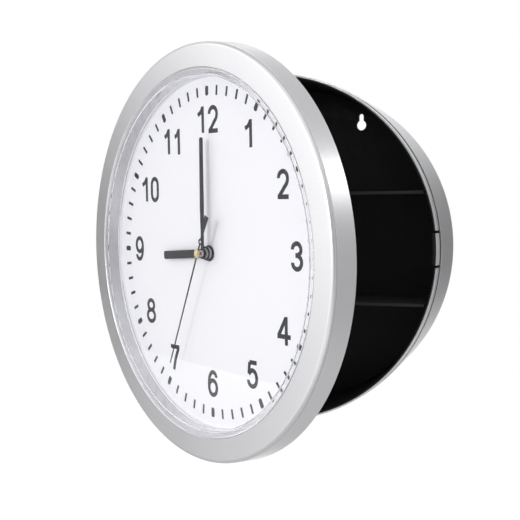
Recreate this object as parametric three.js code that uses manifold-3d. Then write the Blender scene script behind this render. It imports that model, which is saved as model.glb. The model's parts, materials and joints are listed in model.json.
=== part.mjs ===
// A wall clock that hides a round storage tub: the clock is the tub's door, hinged at 9 o'clock.
// Millimetres. The wall is the plane Y = 0, the front faces -Y, +Z is up and +X is right from the front.
// Pieces are drawn in a front view, x right, y up and z out from the wall, and the last group stands them up.
import * as THREE from 'three';
import Module from 'manifold-3d';
import { mergeVertices } from 'three/addons/utils/BufferGeometryUtils.js';

const wasm = await Module();
wasm.setup();

// Clearances: between still pieces, and round a turning shaft
const FIT = 0.3;
const RUN = 0.05;
const SHAFT_GAP = 0.08;
const ROUND = 60;                // sides of the large rings

// Overall: the bezel's width, the tub's depth, and how far the door stands open
const DIAMETER = 250.2;
const TUB_DEPTH = 60;
const OPEN_DEG = 29.3;
const BAND_R = DIAMETER / 2;

// Tub: a black shell inside a silver sleeve, both tapering to the wall
const OVERHANG = 14.3;           // bezel beyond the lip
const SLEEVE_T = 0.9;
const SKIN_GAP = 0.2;
const SHELL_T = 1.2;
const BACK_T = 2;
const LIP_STRAIGHT = 10;         // depth of the lip before the taper starts
const TAPER = 3.7;
const GROOVE_DEPTH = 6.9;        // dark groove below the lip front
const GROOVE_W = 0.4;
const STEP = 0.7;                // the wall below the groove stands out by this
const REAR_ROUND = 1;
const LIP_R = BAND_R - OVERHANG;
const SLEEVE_IN = LIP_R - SLEEVE_T;
const SHELL_OUT = SLEEVE_IN - SKIN_GAP;
const SHELL_IN = SHELL_OUT - SHELL_T;
const TAPER_Z = TUB_DEPTH - LIP_STRAIGHT;
const GROOVE_Z = TUB_DEPTH - GROOVE_DEPTH;

// Shelves and keyholes
const SHELF_Y = 34.6;
const SHELF_T = 2;
const SHELF_INSET = 5;
const SHELF_GAP = 0.9;
const KEY_AT = [45.7, 80.2];
const KEY_R = 3.4;
const KEY_SLOT = 1.7;            // half width of the slot
const KEY_RISE = 5.9;

// Hinge, its axis upright just inside the lip
const AXIS_INSET = 5.5;
const AXIS_DEPTH = 2.81;
const PIN_R = 1.2;
const PIN_HEAD_R = 2.1;
const BARREL_R = 2.6;
const ARM_HALF = 9.2;
const KNUCKLE_GAP = 0.4;
const KNUCKLE_L = 10.4;
const LEAF_L = 33;
const LEAF_BACK = 1.4;           // leaf face beyond the axis
const NOTCH_HALF = 42;           // the lip is cut down here, to let the door's edge swing
const NOTCH_DEPTH = 4.8;
const HINGE_X = -(SHELL_IN - AXIS_INSET);
const HINGE_Z = TUB_DEPTH - AXIS_DEPTH;
const KNUCKLE_IN = ARM_HALF + KNUCKLE_GAP;
const KNUCKLE_END = KNUCKLE_IN + KNUCKLE_L;

// Latch at 3 o'clock: a tongue in a notch of the lip
const TONGUE_HALF = 9.45;
const TONGUE_SLIT = 1.95;
const TONGUE_T = 1.2;
const TONGUE_L = 22;
const TONGUE_GAP = 0.6;          // inside the shell

// Door, with heights above the dial face
const LIP_BELOW_DIAL = 1.53;
const BAND_REAR = -3.85;
const BAND_DRAFT = 0.7;
const BAND_T = 2.2;
const FACE_N = 11.9;
const FACE_EDGE = 1;             // fall of the face at its outer edge
const FACE_T = 2.3;
const FACE_W = 15.5;
const WALL_T = 1.5;              // bezel's inner wall, round the lens
const BASE_GAP = 1.4;            // door base inside the lip
const BASE_T = 1.9;
const RIM_T = 1.45;
const RIM_N = 1.8;
const DIAL_T = 0.5;
const DIAL_GAP = 0.65;
const PLY = 0.2;                 // between the stacked plates
const LENS_T = 0.8;
const LENS_DROP = 0.3;           // lens below the crown of the face
const LENS_GAP = 0.4;
const FOOT_GAP = 0.45;
const WALL_GAP = 0.6;            // between the lens's foot and the bezel's inner wall
const SKIRT_T = 1.6;
const DIAL_Z = TUB_DEPTH + LIP_BELOW_DIAL;
const FACE_IN = BAND_R - FACE_W;
const BASE_R = SHELL_IN - BASE_GAP;
const RIM_IN = BASE_R - RIM_T;
const DIAL_R = RIM_IN - DIAL_GAP;
const LENS_R = FACE_IN - LENS_GAP;
const LENS_N = FACE_N - LENS_DROP;
const FOOT_R = RIM_IN - FOOT_GAP;
const WALL_N = RIM_N + FIT;
const BASE_N = -DIAL_T - PLY;
const BASE_BACK = BASE_N - BASE_T;

// Screws: the large ones hold the base to the bezel by its ears
const EARS = [45, 135, 225, 315];
const EAR_W = 10;
const EAR_T = 1.6;
const POST_R = 3;
const POST_AT = LIP_R + 5.2;
const POST_L = 8;
const SCREW = { shaft: 1.2, head: 2.6, high: 1.5, long: 6.6 };
const SMALL = { shaft: 1.0, head: 2.2, high: 1.2 };

// Hinge arm and latch catch, on the back of the base
const ARM_T = 1.7;
const ARM_L = 23;
const ARM_SCREW = [17, 5];       // from the hinge axis
const CATCH_T = 1.5;
const CATCH_HALF = 7;
const CATCH_W = 14.6;
const CATCH_HOOK = 2.2;
const CATCH_L = 6.9;
const CATCH_GAP = 1.3;           // inside the tongue
const CATCH_SCREW = [10.1, 5];   // from the catch's outer edge
const LATCH_SCREW = [17, 5.5];   // below the lip, and off centre
const LEAF_SCREW = [23.2, 14.5]; // below the axis, and off centre

// Hands, with angles clockwise from 12 and heights above the dial
const HOUR = { at: -93.3, n: 3, t: 0.8, long: 47, half: 2.6, hub: 4.9 };
const MINUTE = { at: 0.5, n: 5.2, t: 0.4, long: 69.2, half: 2, hub: 3.2 };
const SECOND = { at: 205.3, n: 9, t: 0.3, long: 77, half: 0.65, hub: 1.8 };
const HAND_ROUND = 1.6;
const TAIL = { long: 24, half: 2.4, ring: 8, ringR: 2, holeR: 1.1 };
const CAP = { r: 2.95, high: 1.15 };
const COLLET = { r: 2.3, high: 1.3 };
const WASHER = { r: 5.4, high: 0.85 };
const NUT = { r: 5.2, high: 1.45 };

// Shafts, one inside another
const ARBOR_R = 0.6;
const TUBE_WALL = 0.9;
const BUSH_WALL = 1.3;
const MINUTE_IN = ARBOR_R + SHAFT_GAP;
const MINUTE_OUT = MINUTE_IN + TUBE_WALL;
const HOUR_IN = MINUTE_OUT + SHAFT_GAP;
const HOUR_OUT = HOUR_IN + TUBE_WALL;
const BUSH_IN = HOUR_OUT + SHAFT_GAP;
const BUSH_OUT = BUSH_IN + BUSH_WALL;
const BUSH_TOP = 2.8;
const BUSH_FLANGE = 1.7;
const THREAD = 0.1;

// Wheels: places on the door, teeth, and how far below the case front they turn
const CENTRE = [0, 0];
const THIRD_AT = [-8, 9.26];
const MIDDLE_AT = [6.43, 7.66];
const SETTING_AT = [12.48, 0];
const ROTOR_AT = [15.06, 10.8];
const TEETH = {
  seconds: 32, secondPinion: 8, third: 60, thirdPinion: 8, minutes: 64, cannon: 12, setting: 36,
  settingPinion: 10, hours: 40, middle: 45, middlePinion: 8, rotorPinion: 6,
};
const TIP = 0.6;                 // tooth tips and roots beyond the pitch circle, in modules
const ROOT = 1.2;
const WHEEL_T = 0.8;
const PINION_T = 1.2;
const WHEEL_GAP = 0.5;
const HOUR_DROP = 3.9;
const SETTING_DROP = 1.3;
const LEVEL_DROP = 2;
const KNOB = { r: 4.6, high: 2.5, chamfer: 0.4 };
const ROTOR_R = 2.9;
const ROTOR_HOLE = 0.4;

// Motor, beyond the rotor
const COIL_RISE = 11.8;
const COIL_HALF = 8;
const COIL_R = 3.6;
const FLANGE = 3.8;
const FLANGE_T = 1.2;
const BOBBIN_T = 0.7;
const CORE = { y: 0.8, n: 0.4 };
const STATOR_REACH = 2.2;        // bar beyond the coil
const STATOR_LEG = 1.3;
const STATOR_GAP = 1.8;          // to the case
const BOARD_T = 1;
const CRYSTAL = { r: 1, long: 6 };

// Movement case and its cell
const CASE_DEEP = 14.1;
const CASE_T = 1;
const CASE_ROUND = 3;
const COVER_T = 1.2;
const BATTERY = { r: 7.1, long: 49.2, nub: 2.7, nubLong: 1.4 };
const CONTACT_T = 0.5;
const SPRING_L = 1.4;            // the sprung contact's bow
const BAY_WALL = 0.7;
const CASE_FRONT = BASE_BACK - FIT;
const CASE_REAR = CASE_FRONT - CASE_DEEP;
const COVER_REAR = CASE_REAR - PLY - COVER_T;
const FLOOR_N = CASE_FRONT - CASE_T;
const HOUR_LEVEL = CASE_FRONT - HOUR_DROP;
const SETTING_LEVEL = HOUR_LEVEL - SETTING_DROP;
const MINUTE_LEVEL = SETTING_LEVEL - LEVEL_DROP;
const THIRD_LEVEL = MINUTE_LEVEL - LEVEL_DROP;
const SECOND_LEVEL = THIRD_LEVEL - LEVEL_DROP;
const MIDDLE_LEVEL = SECOND_LEVEL - LEVEL_DROP;
const ARBOR_END = CASE_REAR + PLY;
const ARBOR_TOP = FLOOR_N - PLY;

// Finishes
const finish = (color, metalness, roughness, more = {}) =>
  new THREE.MeshStandardMaterial({ color, metalness, roughness, ...more });
const silverPaint = finish(0xc4c5c8, 0.35, 0.42);
const blackPlastic = finish(0x121213, 0, 0.55);
const whiteDial = finish(0xf4f4f7, 0, 0.6);
const clearPlastic = finish(0xffffff, 0, 0.05, { transparent: true, opacity: 0.25 });
const handPaint = finish(0x3a3b3e, 0.3, 0.5);
const brass = finish(0xc9a24a, 0.9, 0.3);
const steel = finish(0xa9abad, 0.9, 0.35);
const naturalPlastic = finish(0xe6e4dc, 0, 0.5);
const copper = finish(0xb4622f, 0.8, 0.4);
const board = finish(0x1f5a36, 0, 0.6);
const jacket = finish(0x2c5fa8, 0.2, 0.4);

// Geometry with shared vertices and its faces pointing out
const geometryOf = (vertices, index) => {
  const g = new THREE.BufferGeometry();
  g.setAttribute('position', new THREE.BufferAttribute(Float32Array.from(vertices), 3));
  g.setIndex(Array.from(index));
  return g;
};
const closed = (geometry) => {
  const bare = geometry.clone();
  bare.deleteAttribute('normal');
  bare.deleteAttribute('uv');
  const merged = mergeVertices(bare, 1e-4);
  const points = merged.attributes.position;
  const corner = [0, 1, 2].map(() => new THREE.Vector3());
  const faces = [];
  let volume = 0;
  for (let i = 0; i < merged.index.count; i += 3) {
    const ids = [0, 1, 2].map((k) => merged.index.getX(i + k));
    if (new Set(ids).size === 3) {
      faces.push(ids);
      ids.forEach((id, k) => corner[k].fromBufferAttribute(points, id));
      volume += corner[0].dot(corner[1].cross(corner[2]));
    }
  }
  return geometryOf(points.array, faces.flatMap(([a, b, c]) => (volume < 0 ? [b, a, c] : [a, b, c])));
};

// Solids that can be cut and joined
const solid = (shape) => {
  if (!(shape instanceof THREE.BufferGeometry)) return shape;
  const g = closed(shape);
  return new wasm.Manifold(new wasm.Mesh({
    numProp: 3,
    vertProperties: g.attributes.position.array,
    triVerts: Uint32Array.from(g.index.array),
  }));
};
const join = (...shapes) => shapes.map(solid).reduce((a, b) => a.add(b));
const cut = (shape, ...tools) => tools.map(solid).reduce((a, b) => a.subtract(b), solid(shape));
const common = (a, b) => solid(a).intersect(solid(b));

// Plain shapes: turned about z, boxes, and flat plates
const turned = (profile, sides = ROUND) => {
  const ring = profile[0][0] === 0 ? profile : [...profile, profile[0]];
  return new THREE.LatheGeometry(ring.map(([r, z]) => new THREE.Vector2(r, z)), sides).rotateX(Math.PI / 2);
};
const tube = (inner, outer, z0, z1, sides = 24) =>
  turned([[inner, z0], [outer, z0], [outer, z1], [inner, z1]], sides);
const rod = (r, z0, z1, sides = 12) => turned([[0, z0], [r, z0], [r, z1], [0, z1]], sides);
const box = ([x0, x1], [y0, y1], [z0, z1]) =>
  new THREE.BoxGeometry(x1 - x0, y1 - y0, z1 - z0).translate((x0 + x1) / 2, (y0 + y1) / 2, (z0 + z1) / 2);
const points = (list) => list.map(([x, y]) => new THREE.Vector2(x, y));
const plate = (outline, z0, z1, holes = []) => {
  const shape = new THREE.Shape(points(outline));
  shape.holes = holes.map((hole) => new THREE.Path(points(hole)));
  return new THREE.ExtrudeGeometry(shape, { depth: z1 - z0, bevelEnabled: false }).translate(0, 0, z0);
};
const polar = (r, deg) => {
  const a = THREE.MathUtils.degToRad(deg);
  return [r * Math.cos(a), r * Math.sin(a)];
};
const arc = (r, from, to, steps) =>
  Array.from({ length: steps + 1 }, (_, i) => polar(r, from + ((to - from) * i) / steps));
const circle = (r, x = 0, y = 0, sides = 24) =>
  arc(r, 0, 360, sides).slice(1).map(([dx, dy]) => [x + dx, y + dy]);

// Turning shapes: a profile drawn in x and z given width in y, a rod along y, and a rod along x
const HALF_TURN = Math.PI;
const QUARTER = Math.PI / 2;
const profiled = (outline, half) => plate(outline, -half, half).rotateX(QUARTER);
const alongY = (shape) => shape.rotateX(QUARTER);
const alongX = (shape) => shape.rotateY(QUARTER);

// Groups: the whole stands on +Z, and the door hangs on its pin
const clockSafe = new THREE.Group();
clockSafe.rotation.x = QUARTER;
const tub = new THREE.Group();
const hinge = new THREE.Group();
const door = new THREE.Group();
hinge.position.set(HINGE_X, 0, HINGE_Z);
hinge.rotation.y = -THREE.MathUtils.degToRad(OPEN_DEG);
door.position.set(-HINGE_X, 0, DIAL_Z - HINGE_Z);
hinge.add(door);
clockSafe.add(tub, hinge);

const piece = (parent, name, shape, material, at = [0, 0, 0], turn = [0, 0, 0]) => {
  const mesh3 = shape instanceof THREE.BufferGeometry ? null : shape.getMesh();
  const merged = mesh3 ? geometryOf(mesh3.vertProperties, mesh3.triVerts) : closed(shape);
  const geometry = merged.toNonIndexed();
  geometry.computeVertexNormals();
  const mesh = new THREE.Mesh(geometry, material);
  mesh.name = name;
  mesh.position.set(...at);
  mesh.rotation.set(...turn);
  parent.add(mesh);
};
const pair = [['upper', 1], ['lower', -1]];
const both = (f) => pair.map(([, side]) => f(side));

// Tub
const shellIn = (z) => SHELL_IN - (TAPER * Math.max(0, TAPER_Z - z)) / TAPER_Z;
const wallHole = (below, off) =>
  alongX(rod(SMALL.shaft + FIT, 0, BAND_R)).translate(0, off, TUB_DEPTH - below);
const pastLip = TUB_DEPTH + 1;
const lipNotch = box([-BAND_R, HINGE_X / 2], [-NOTCH_HALF, NOTCH_HALF], [TUB_DEPTH - NOTCH_DEPTH, pastLip]);
const slitHalf = TONGUE_HALF + TONGUE_SLIT;
const tongueNotch = box([LIP_R / 2, BAND_R], [-slitHalf, slitHalf], [GROOVE_Z - GROOVE_W - STEP, pastLip]);
const keyTop = arc(KEY_SLOT, 0, 180, 8).map(([x, y]) => [x, y + KEY_RISE]);
const keySlot = [[-KEY_SLOT, 0], [KEY_SLOT, 0], ...keyTop];
const keyhole = (side) => join(plate(circle(KEY_R), -1, BACK_T + 1), plate(keySlot, -1, BACK_T + 1))
  .translate([side * KEY_AT[0], KEY_AT[1], 0]);

piece(tub, 'tub_shell', cut(
  turned([[0, 0], [SHELL_OUT - TAPER, 0], [SHELL_OUT, TAPER_Z], [SHELL_OUT, TUB_DEPTH],
    [SHELL_IN, TUB_DEPTH], [SHELL_IN, TAPER_Z], [shellIn(BACK_T), BACK_T], [0, BACK_T]]),
  lipNotch, tongueNotch, ...both(keyhole),
  ...both((s) => wallHole(LATCH_SCREW[0], s * LATCH_SCREW[1])),
  ...both((s) => wallHole(AXIS_DEPTH + LEAF_SCREW[0], s * LEAF_SCREW[1]).rotateZ(HALF_TURN)),
), blackPlastic);

piece(tub, 'tub_sleeve', cut(
  turned([[SLEEVE_IN - TAPER + SKIN_GAP, 0], [LIP_R - TAPER - SKIN_GAP, 0],
    [LIP_R - TAPER + STEP - PLY, REAR_ROUND], [LIP_R + STEP, GROOVE_Z - GROOVE_W - FIT],
    [LIP_R, GROOVE_Z - GROOVE_W], [LIP_R, GROOVE_Z], [LIP_R + GROOVE_W, GROOVE_Z + FIT], [LIP_R, TUB_DEPTH],
    [SLEEVE_IN, TUB_DEPTH], [SLEEVE_IN, TAPER_Z]]),
  lipNotch, tongueNotch,
), silverPaint);

const shelfHalf = (z) => Math.sqrt((shellIn(z) - SHELF_GAP) ** 2 - (SHELF_Y + SHELF_T / 2) ** 2);
const shelfEdge = [BACK_T + FIT, TAPER_Z, TUB_DEPTH - SHELF_INSET].map((z) => [shelfHalf(z), z]);
const shelfOutline = [...shelfEdge, ...shelfEdge.map(([x, z]) => [-x, z]).reverse()];
for (const [name, side] of pair) {
  piece(tub, `${name}_shelf`, profiled(shelfOutline, SHELF_T / 2), blackPlastic, [0, side * SHELF_Y, 0]);
}

// Hinge bracket and pin, drawn about the axis
const span = (side, near, far) => [side * near, side * far].sort((a, b) => a - b);
const tubInside = turned([[0, FIT], [shellIn(0) - FIT, FIT], [SHELL_IN - FIT, TAPER_Z],
  [SHELL_IN - FIT, TUB_DEPTH], [0, TUB_DEPTH]]).translate(-HINGE_X, 0, -HINGE_Z);
const leafTop = -3 * BARREL_R;
const leaf = box([-BAND_R, -LEAF_BACK], [-KNUCKLE_END, KNUCKLE_END], [-LEAF_L, leafTop]);
const knuckle = (side) => join(
  alongY(rod(BARREL_R, ...span(side, KNUCKLE_IN, KNUCKLE_END), 24)),
  box([-BARREL_R, -BARREL_R / 4], span(-side, KNUCKLE_IN, KNUCKLE_END), [leafTop - 1, 0]),
);
const pinBore = alongY(rod(PIN_R + RUN, -DIAMETER, DIAMETER, 24));
const leafHole = (side) => alongX(rod(SMALL.shaft + FIT, -BAND_R, BAND_R))
  .translate(0, side * LEAF_SCREW[1], -LEAF_SCREW[0]);
piece(tub, 'hinge_bracket', cut(common(join(leaf, ...both(knuckle)), tubInside), pinBore, ...both(leafHole)),
  blackPlastic, [HINGE_X, 0, HINGE_Z]);
const pinEnd = KNUCKLE_END + FIT;
piece(tub, 'hinge_pin', turned([[0, -pinEnd - FIT], [PIN_R, -pinEnd - FIT], [PIN_R, pinEnd],
  [PIN_HEAD_R, pinEnd], [PIN_HEAD_R, pinEnd + 1], [0, pinEnd + 1]], 24), steel,
[HINGE_X, 0, HINGE_Z], [-QUARTER, 0, 0]);

// Small screws: the head's seat is at the origin and the shaft runs to -z
const smallScrew = (long) => turned([[0, -long], [SMALL.shaft, -long], [SMALL.shaft, 0], [SMALL.head, 0],
  [SMALL.head, SMALL.high / 2], [SMALL.head * 0.6, SMALL.high], [0, SMALL.high]], 8);
const leafFace = HINGE_X - LEAF_BACK;
const leafScrewZ = HINGE_Z - LEAF_SCREW[0];
const reach = (z, off) => Math.sqrt((shellIn(z) + SHELL_T) ** 2 - off ** 2) - FIT;
for (const [name, side] of pair) {
  const off = side * LEAF_SCREW[1];
  piece(tub, `hinge_screw_${name}`, smallScrew(reach(leafScrewZ, off) + leafFace + FIT), steel,
    [leafFace + FIT, off, leafScrewZ], [0, QUARTER, 0]);
}

// Latch tongue: a leaf inside the wall that fills the notch of the lip
const tongueIn = SHELL_IN - TONGUE_GAP - TONGUE_T;
const tongueOut = SHELL_IN - TONGUE_GAP;
const tongueFoot = shellIn(TUB_DEPTH - TONGUE_L) - SHELL_IN;
const tongueTop = GROOVE_Z + FIT;
piece(tub, 'latch_tongue', cut(common(
  turned([[tongueIn + tongueFoot, TUB_DEPTH - TONGUE_L], [tongueOut + tongueFoot, TUB_DEPTH - TONGUE_L],
    [tongueOut, TAPER_Z], [tongueOut, tongueTop], [LIP_R + FIT, tongueTop], [LIP_R, TUB_DEPTH],
    [tongueIn, TUB_DEPTH], [tongueIn, TAPER_Z]]),
  box([0, BAND_R], [-TONGUE_HALF, TONGUE_HALF], [0, TUB_DEPTH + 1]),
), ...both((s) => wallHole(LATCH_SCREW[0], s * LATCH_SCREW[1]))), silverPaint);
const latchScrewZ = TUB_DEPTH - LATCH_SCREW[0];
const tongueR = tongueIn + shellIn(latchScrewZ) - SHELL_IN;
const tongueFace = Math.sqrt(tongueR ** 2 - (LATCH_SCREW[1] + SMALL.head) ** 2) - FIT;
for (const [name, side] of pair) {
  const off = side * LATCH_SCREW[1];
  piece(tub, `latch_screw_${name}`, smallScrew(reach(latchScrewZ, off) - tongueFace), steel,
    [tongueFace, off, latchScrewZ], [0, -QUARTER, 0]);
}

// Bezel: outer band, face, and an inner wall round the lens, with four screw posts
const onEars = (f) => EARS.map((deg) => f(...polar(POST_AT, deg)));
const wallFoot = FOOT_R + WALL_GAP;
const faceUnder = FACE_N - FACE_T;
piece(door, 'bezel', cut(
  join(
    turned([[BAND_R, BAND_REAR], [BAND_R - BAND_DRAFT, FACE_N - 2 * FACE_EDGE],
      [BAND_R - BAND_DRAFT - FIT, FACE_N - FACE_EDGE], [BAND_R - FACE_W / 2, FACE_N],
      [FACE_IN + 2 * FIT, FACE_N], [FACE_IN, FACE_N - 2 * FIT], [wallFoot, WALL_N],
      [wallFoot + WALL_T, WALL_N], [FACE_IN + WALL_T, faceUnder],
      [BAND_R - BAND_DRAFT - BAND_T, faceUnder - FIT], [BAND_R - BAND_T, BAND_REAR]]),
    ...onEars((x, y) => rod(POST_R, WALL_N, faceUnder + 1, 16).translate(x, y, 0)),
  ),
  ...onEars((x, y) => rod(SCREW.shaft + PLY, 0, SCREW.long + PLY).translate(x, y, 0)),
), silverPaint);

// Lens: a flat window on a sloped skirt that stands on the dial's edge
piece(door, 'lens', turned([[0, LENS_N], [LENS_R - FIT, LENS_N], [LENS_R, LENS_N - FIT],
  [FOOT_R + FIT / 2, RIM_N], [FOOT_R, PLY], [FOOT_R - SKIRT_T, PLY], [FOOT_R - SKIRT_T + FIT, RIM_N],
  [LENS_R - SKIRT_T, LENS_N - LENS_T], [0, LENS_N - LENS_T]]), clearPlastic);
piece(door, 'dial', tube(BUSH_OUT + FIT, DIAL_R, -DIAL_T, 0, ROUND), whiteDial);

// Base: the black panel that carries the dial, with a rim, four ears, and a relief at the hinge
const reliefHalf = KNUCKLE_END + BARREL_R;
const relief = box([-BAND_R, HINGE_X + 2 * BARREL_R], [-reliefHalf, reliefHalf], [BASE_BACK - 1, RIM_N + 1]);
const earTip = POST_AT + POST_R;
const ear = (deg) => plate([[BASE_R - RIM_T / 2, -EAR_W / 2], [earTip - 1, -EAR_W / 2], [earTip, 0],
  [earTip - 1, EAR_W / 2], [BASE_R - RIM_T / 2, EAR_W / 2]], RIM_N - EAR_T, RIM_N)
  .rotateZ(THREE.MathUtils.degToRad(deg));
const catchOut = tongueIn - CATCH_GAP;
const holeAt = (x, y) => rod(SMALL.shaft + PLY, BASE_BACK - BASE_T - FIT, 0).translate(x, y, 0);
const armScrewX = HINGE_X + ARM_SCREW[0];
const catchScrewX = catchOut - CATCH_SCREW[0];
piece(door, 'dial_base', cut(
  join(turned([[BUSH_OUT + FIT, BASE_BACK], [BASE_R - DIAL_GAP - PLY, BASE_BACK],
    [BASE_R - DIAL_GAP - PLY, BASE_N - DIAL_T], [BASE_R, BASE_N - DIAL_T], [BASE_R, RIM_N], [RIM_IN, RIM_N],
    [RIM_IN, BASE_N], [BUSH_OUT + FIT, BASE_N]]), ...EARS.map(ear)),
  relief,
  ...onEars((x, y) => rod(SCREW.shaft + FIT, -RIM_N, 2 * RIM_N).translate(x, y, 0)),
  ...both((s) => holeAt(armScrewX, s * ARM_SCREW[1])),
  ...both((s) => holeAt(catchScrewX, s * CATCH_SCREW[1])),
), blackPlastic);

const bezelScrew = turned([[0, -SCREW.high], [SCREW.head - 0.5, -SCREW.high], [SCREW.head, 0.5 - SCREW.high],
  [SCREW.head, 0], [SCREW.shaft, 0], [SCREW.shaft, SCREW.long], [0, SCREW.long]], 8);
EARS.forEach((deg, i) => {
  piece(door, `bezel_screw_${i + 1}`, bezelScrew, steel, [...polar(POST_AT, deg), RIM_N - EAR_T - FIT]);
});

// Hinge arm and latch catch
const axisN = HINGE_Z - DIAL_Z;
const armFront = BASE_BACK - FIT;
const armBack = armFront - ARM_T;
piece(door, 'hinge_arm', cut(
  join(alongY(rod(BARREL_R, -ARM_HALF, ARM_HALF, 24)),
    box([0, ARM_L], [-ARM_HALF, ARM_HALF], [armBack - axisN, armFront - axisN])),
  pinBore,
  ...both((s) => rod(SMALL.shaft + PLY, -BARREL_R, BARREL_R).translate(ARM_SCREW[0], s * ARM_SCREW[1], 0)),
), blackPlastic, [HINGE_X, 0, axisN]);

const catchBack = armFront - CATCH_T;
const hookEnd = armFront - CATCH_L;
piece(door, 'latch_catch', cut(
  profiled([[-CATCH_W, armFront], [-CATCH_W, catchBack], [-CATCH_HOOK, catchBack], [-CATCH_HOOK, hookEnd],
    [-1, hookEnd], [0, hookEnd + 1], [0, armFront]], CATCH_HALF),
  ...both((s) => rod(SMALL.shaft + PLY, catchBack - 1, armFront + 1)
    .translate(-CATCH_SCREW[0], s * CATCH_SCREW[1], 0)),
), blackPlastic, [catchOut, 0, 0]);

for (const [name, side] of pair) {
  for (const [what, x, off, seat] of [
    ['arm', armScrewX, ARM_SCREW[1], armBack],
    ['catch', catchScrewX, CATCH_SCREW[1], catchBack],
  ]) {
    piece(door, `${what}_screw_${name}`, smallScrew(BASE_N - seat), steel, [x, side * off, seat - FIT],
      [HALF_TURN, 0, 0]);
  }
}

// Bushing, washer and nut on the dial
const bushFoot = FLOOR_N - THREAD - BUSH_FLANGE;
piece(door, 'bushing', turned([[BUSH_IN, bushFoot], [NUT.r + 1, bushFoot], [NUT.r + 1, FLOOR_N - THREAD],
  [BUSH_OUT, FLOOR_N - THREAD], [BUSH_OUT, BUSH_TOP], [BUSH_IN, BUSH_TOP]], 24), brass);
piece(door, 'hand_washer', tube(BUSH_OUT + THREAD, WASHER.r, 0, WASHER.high), blackPlastic, [0, 0, THREAD]);
piece(door, 'hex_nut', plate(circle(NUT.r, 0, 0, 6), 0, NUT.high, [circle(BUSH_OUT + THREAD)]), steel,
  [0, 0, WASHER.high + 2 * THREAD]);

// Hands, drawn pointing to 12 and turned to their angles
const clockwise = (deg) => [0, 0, -THREE.MathUtils.degToRad(deg)];
const handBlank = ({ hub, half, t }, neck, blade, hole) => {
  const lift = THREE.MathUtils.radToDeg(Math.acos(neck / hub));
  const mirror = blade.map(([x, y]) => [-x, y]).reverse();
  return plate([...arc(hub, 180 - lift, 360 + lift, 18), ...blade, ...mirror], 0, t, [circle(hole)]);
};
const chamfer = HAND_ROUND / 3;
const hourTip = [[HOUR.half, HOUR.long - HAND_ROUND], [HOUR.half - chamfer, HOUR.long - chamfer],
  [HOUR.half - HAND_ROUND, HOUR.long]];
piece(door, 'hour_hand', handBlank(HOUR, HOUR.half, hourTip, HOUR_OUT + RUN), handPaint, [0, 0, HOUR.n],
  clockwise(HOUR.at));
const minuteNeck = MINUTE.half * 0.6;
const minuteBlade = [[minuteNeck, MINUTE.long * 0.2], [MINUTE.half, MINUTE.long * 0.38],
  [MINUTE.half - 0.25, MINUTE.long - 0.8], [MINUTE.half / 2, MINUTE.long]];
piece(door, 'minute_hand', handBlank(MINUTE, minuteNeck, minuteBlade, MINUTE_OUT + RUN), handPaint,
  [0, 0, MINUTE.n], clockwise(MINUTE.at));
piece(door, 'minute_collet', tube(MINUTE_OUT + RUN, COLLET.r, 0, COLLET.high), steel,
  [0, 0, MINUTE.n + MINUTE.t + THREAD]);

const tailStart = TAIL.ring + TAIL.ringR;
piece(door, 'second_hand', cut(
  join(
    plate([[-SECOND.half * 0.7, SECOND.long], [-SECOND.half, 0], [-SECOND.half, -tailStart],
      [-TAIL.half, HAND_ROUND - TAIL.long], [TAIL.half, -TAIL.long], [SECOND.half, -tailStart],
      [SECOND.half, 0], [SECOND.half * 0.7, SECOND.long]], 0, SECOND.t),
    plate(circle(TAIL.ringR, 0, -TAIL.ring), 0, SECOND.t),
    plate(circle(SECOND.hub), 0, SECOND.t),
  ),
  rod(ARBOR_R + RUN, -1, 1, 16),
  rod(TAIL.holeR, -1, 1, 16).translate(0, -TAIL.ring, 0),
), handPaint, [0, 0, SECOND.n], clockwise(SECOND.at));
const capProfile = arc(1, 0, 90, 4).map(([x, y]) => [x * CAP.r, CAP.high * (0.25 + 0.75 * y)]);
piece(door, 'second_cap', turned([[0, 0], [CAP.r, 0], ...capProfile], 24), brass,
  [0, 0, SECOND.n + SECOND.t + THREAD]);

// Toothed wheels. Each pair's module follows from its centre distance.
const distance = (p, q) => Math.hypot(p[0] - q[0], p[1] - q[1]);
const moduleOf = (p, q, a, b) => (2 * distance(p, q)) / (TEETH[a] + TEETH[b]);
const tipR = (name, m) => m * (TEETH[name] / 2 + TIP);
const toothed = (name, m, phase, hole, level, thick) => {
  const outline = Array.from({ length: 2 * TEETH[name] }, (_, i) => {
    const a = phase + (i * Math.PI) / TEETH[name];
    const r = i % 2 ? m * (TEETH[name] / 2 - ROOT) : tipR(name, m);
    return [r * Math.cos(a), r * Math.sin(a)];
  });
  return plate(outline, level - thick / 2, level + thick / 2, hole ? [circle(hole, 0, 0, 16)] : []);
};
// The phase that puts a gap of the second wheel opposite a tooth of the first, whose own phase is 0
const meshPhase = (from, a, to, b) => {
  const line = Math.atan2(to[1] - from[1], to[0] - from[0]);
  const share = (line * TEETH[a]) / (2 * Math.PI);
  return line + Math.PI - ((0.5 - share) * 2 * Math.PI) / TEETH[b];
};
const mThird = moduleOf(CENTRE, THIRD_AT, 'secondPinion', 'third');
const mMinutes = moduleOf(CENTRE, THIRD_AT, 'thirdPinion', 'minutes');
const mSetting = moduleOf(CENTRE, SETTING_AT, 'cannon', 'setting');
const mHours = moduleOf(CENTRE, SETTING_AT, 'settingPinion', 'hours');
const mSeconds = moduleOf(CENTRE, MIDDLE_AT, 'seconds', 'middlePinion');
const mMiddle = moduleOf(MIDDLE_AT, ROTOR_AT, 'middle', 'rotorPinion');
const minuteBore = (MINUTE_IN + MINUTE_OUT) / 2;
const hourBore = (HOUR_IN + HOUR_OUT) / 2;

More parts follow.
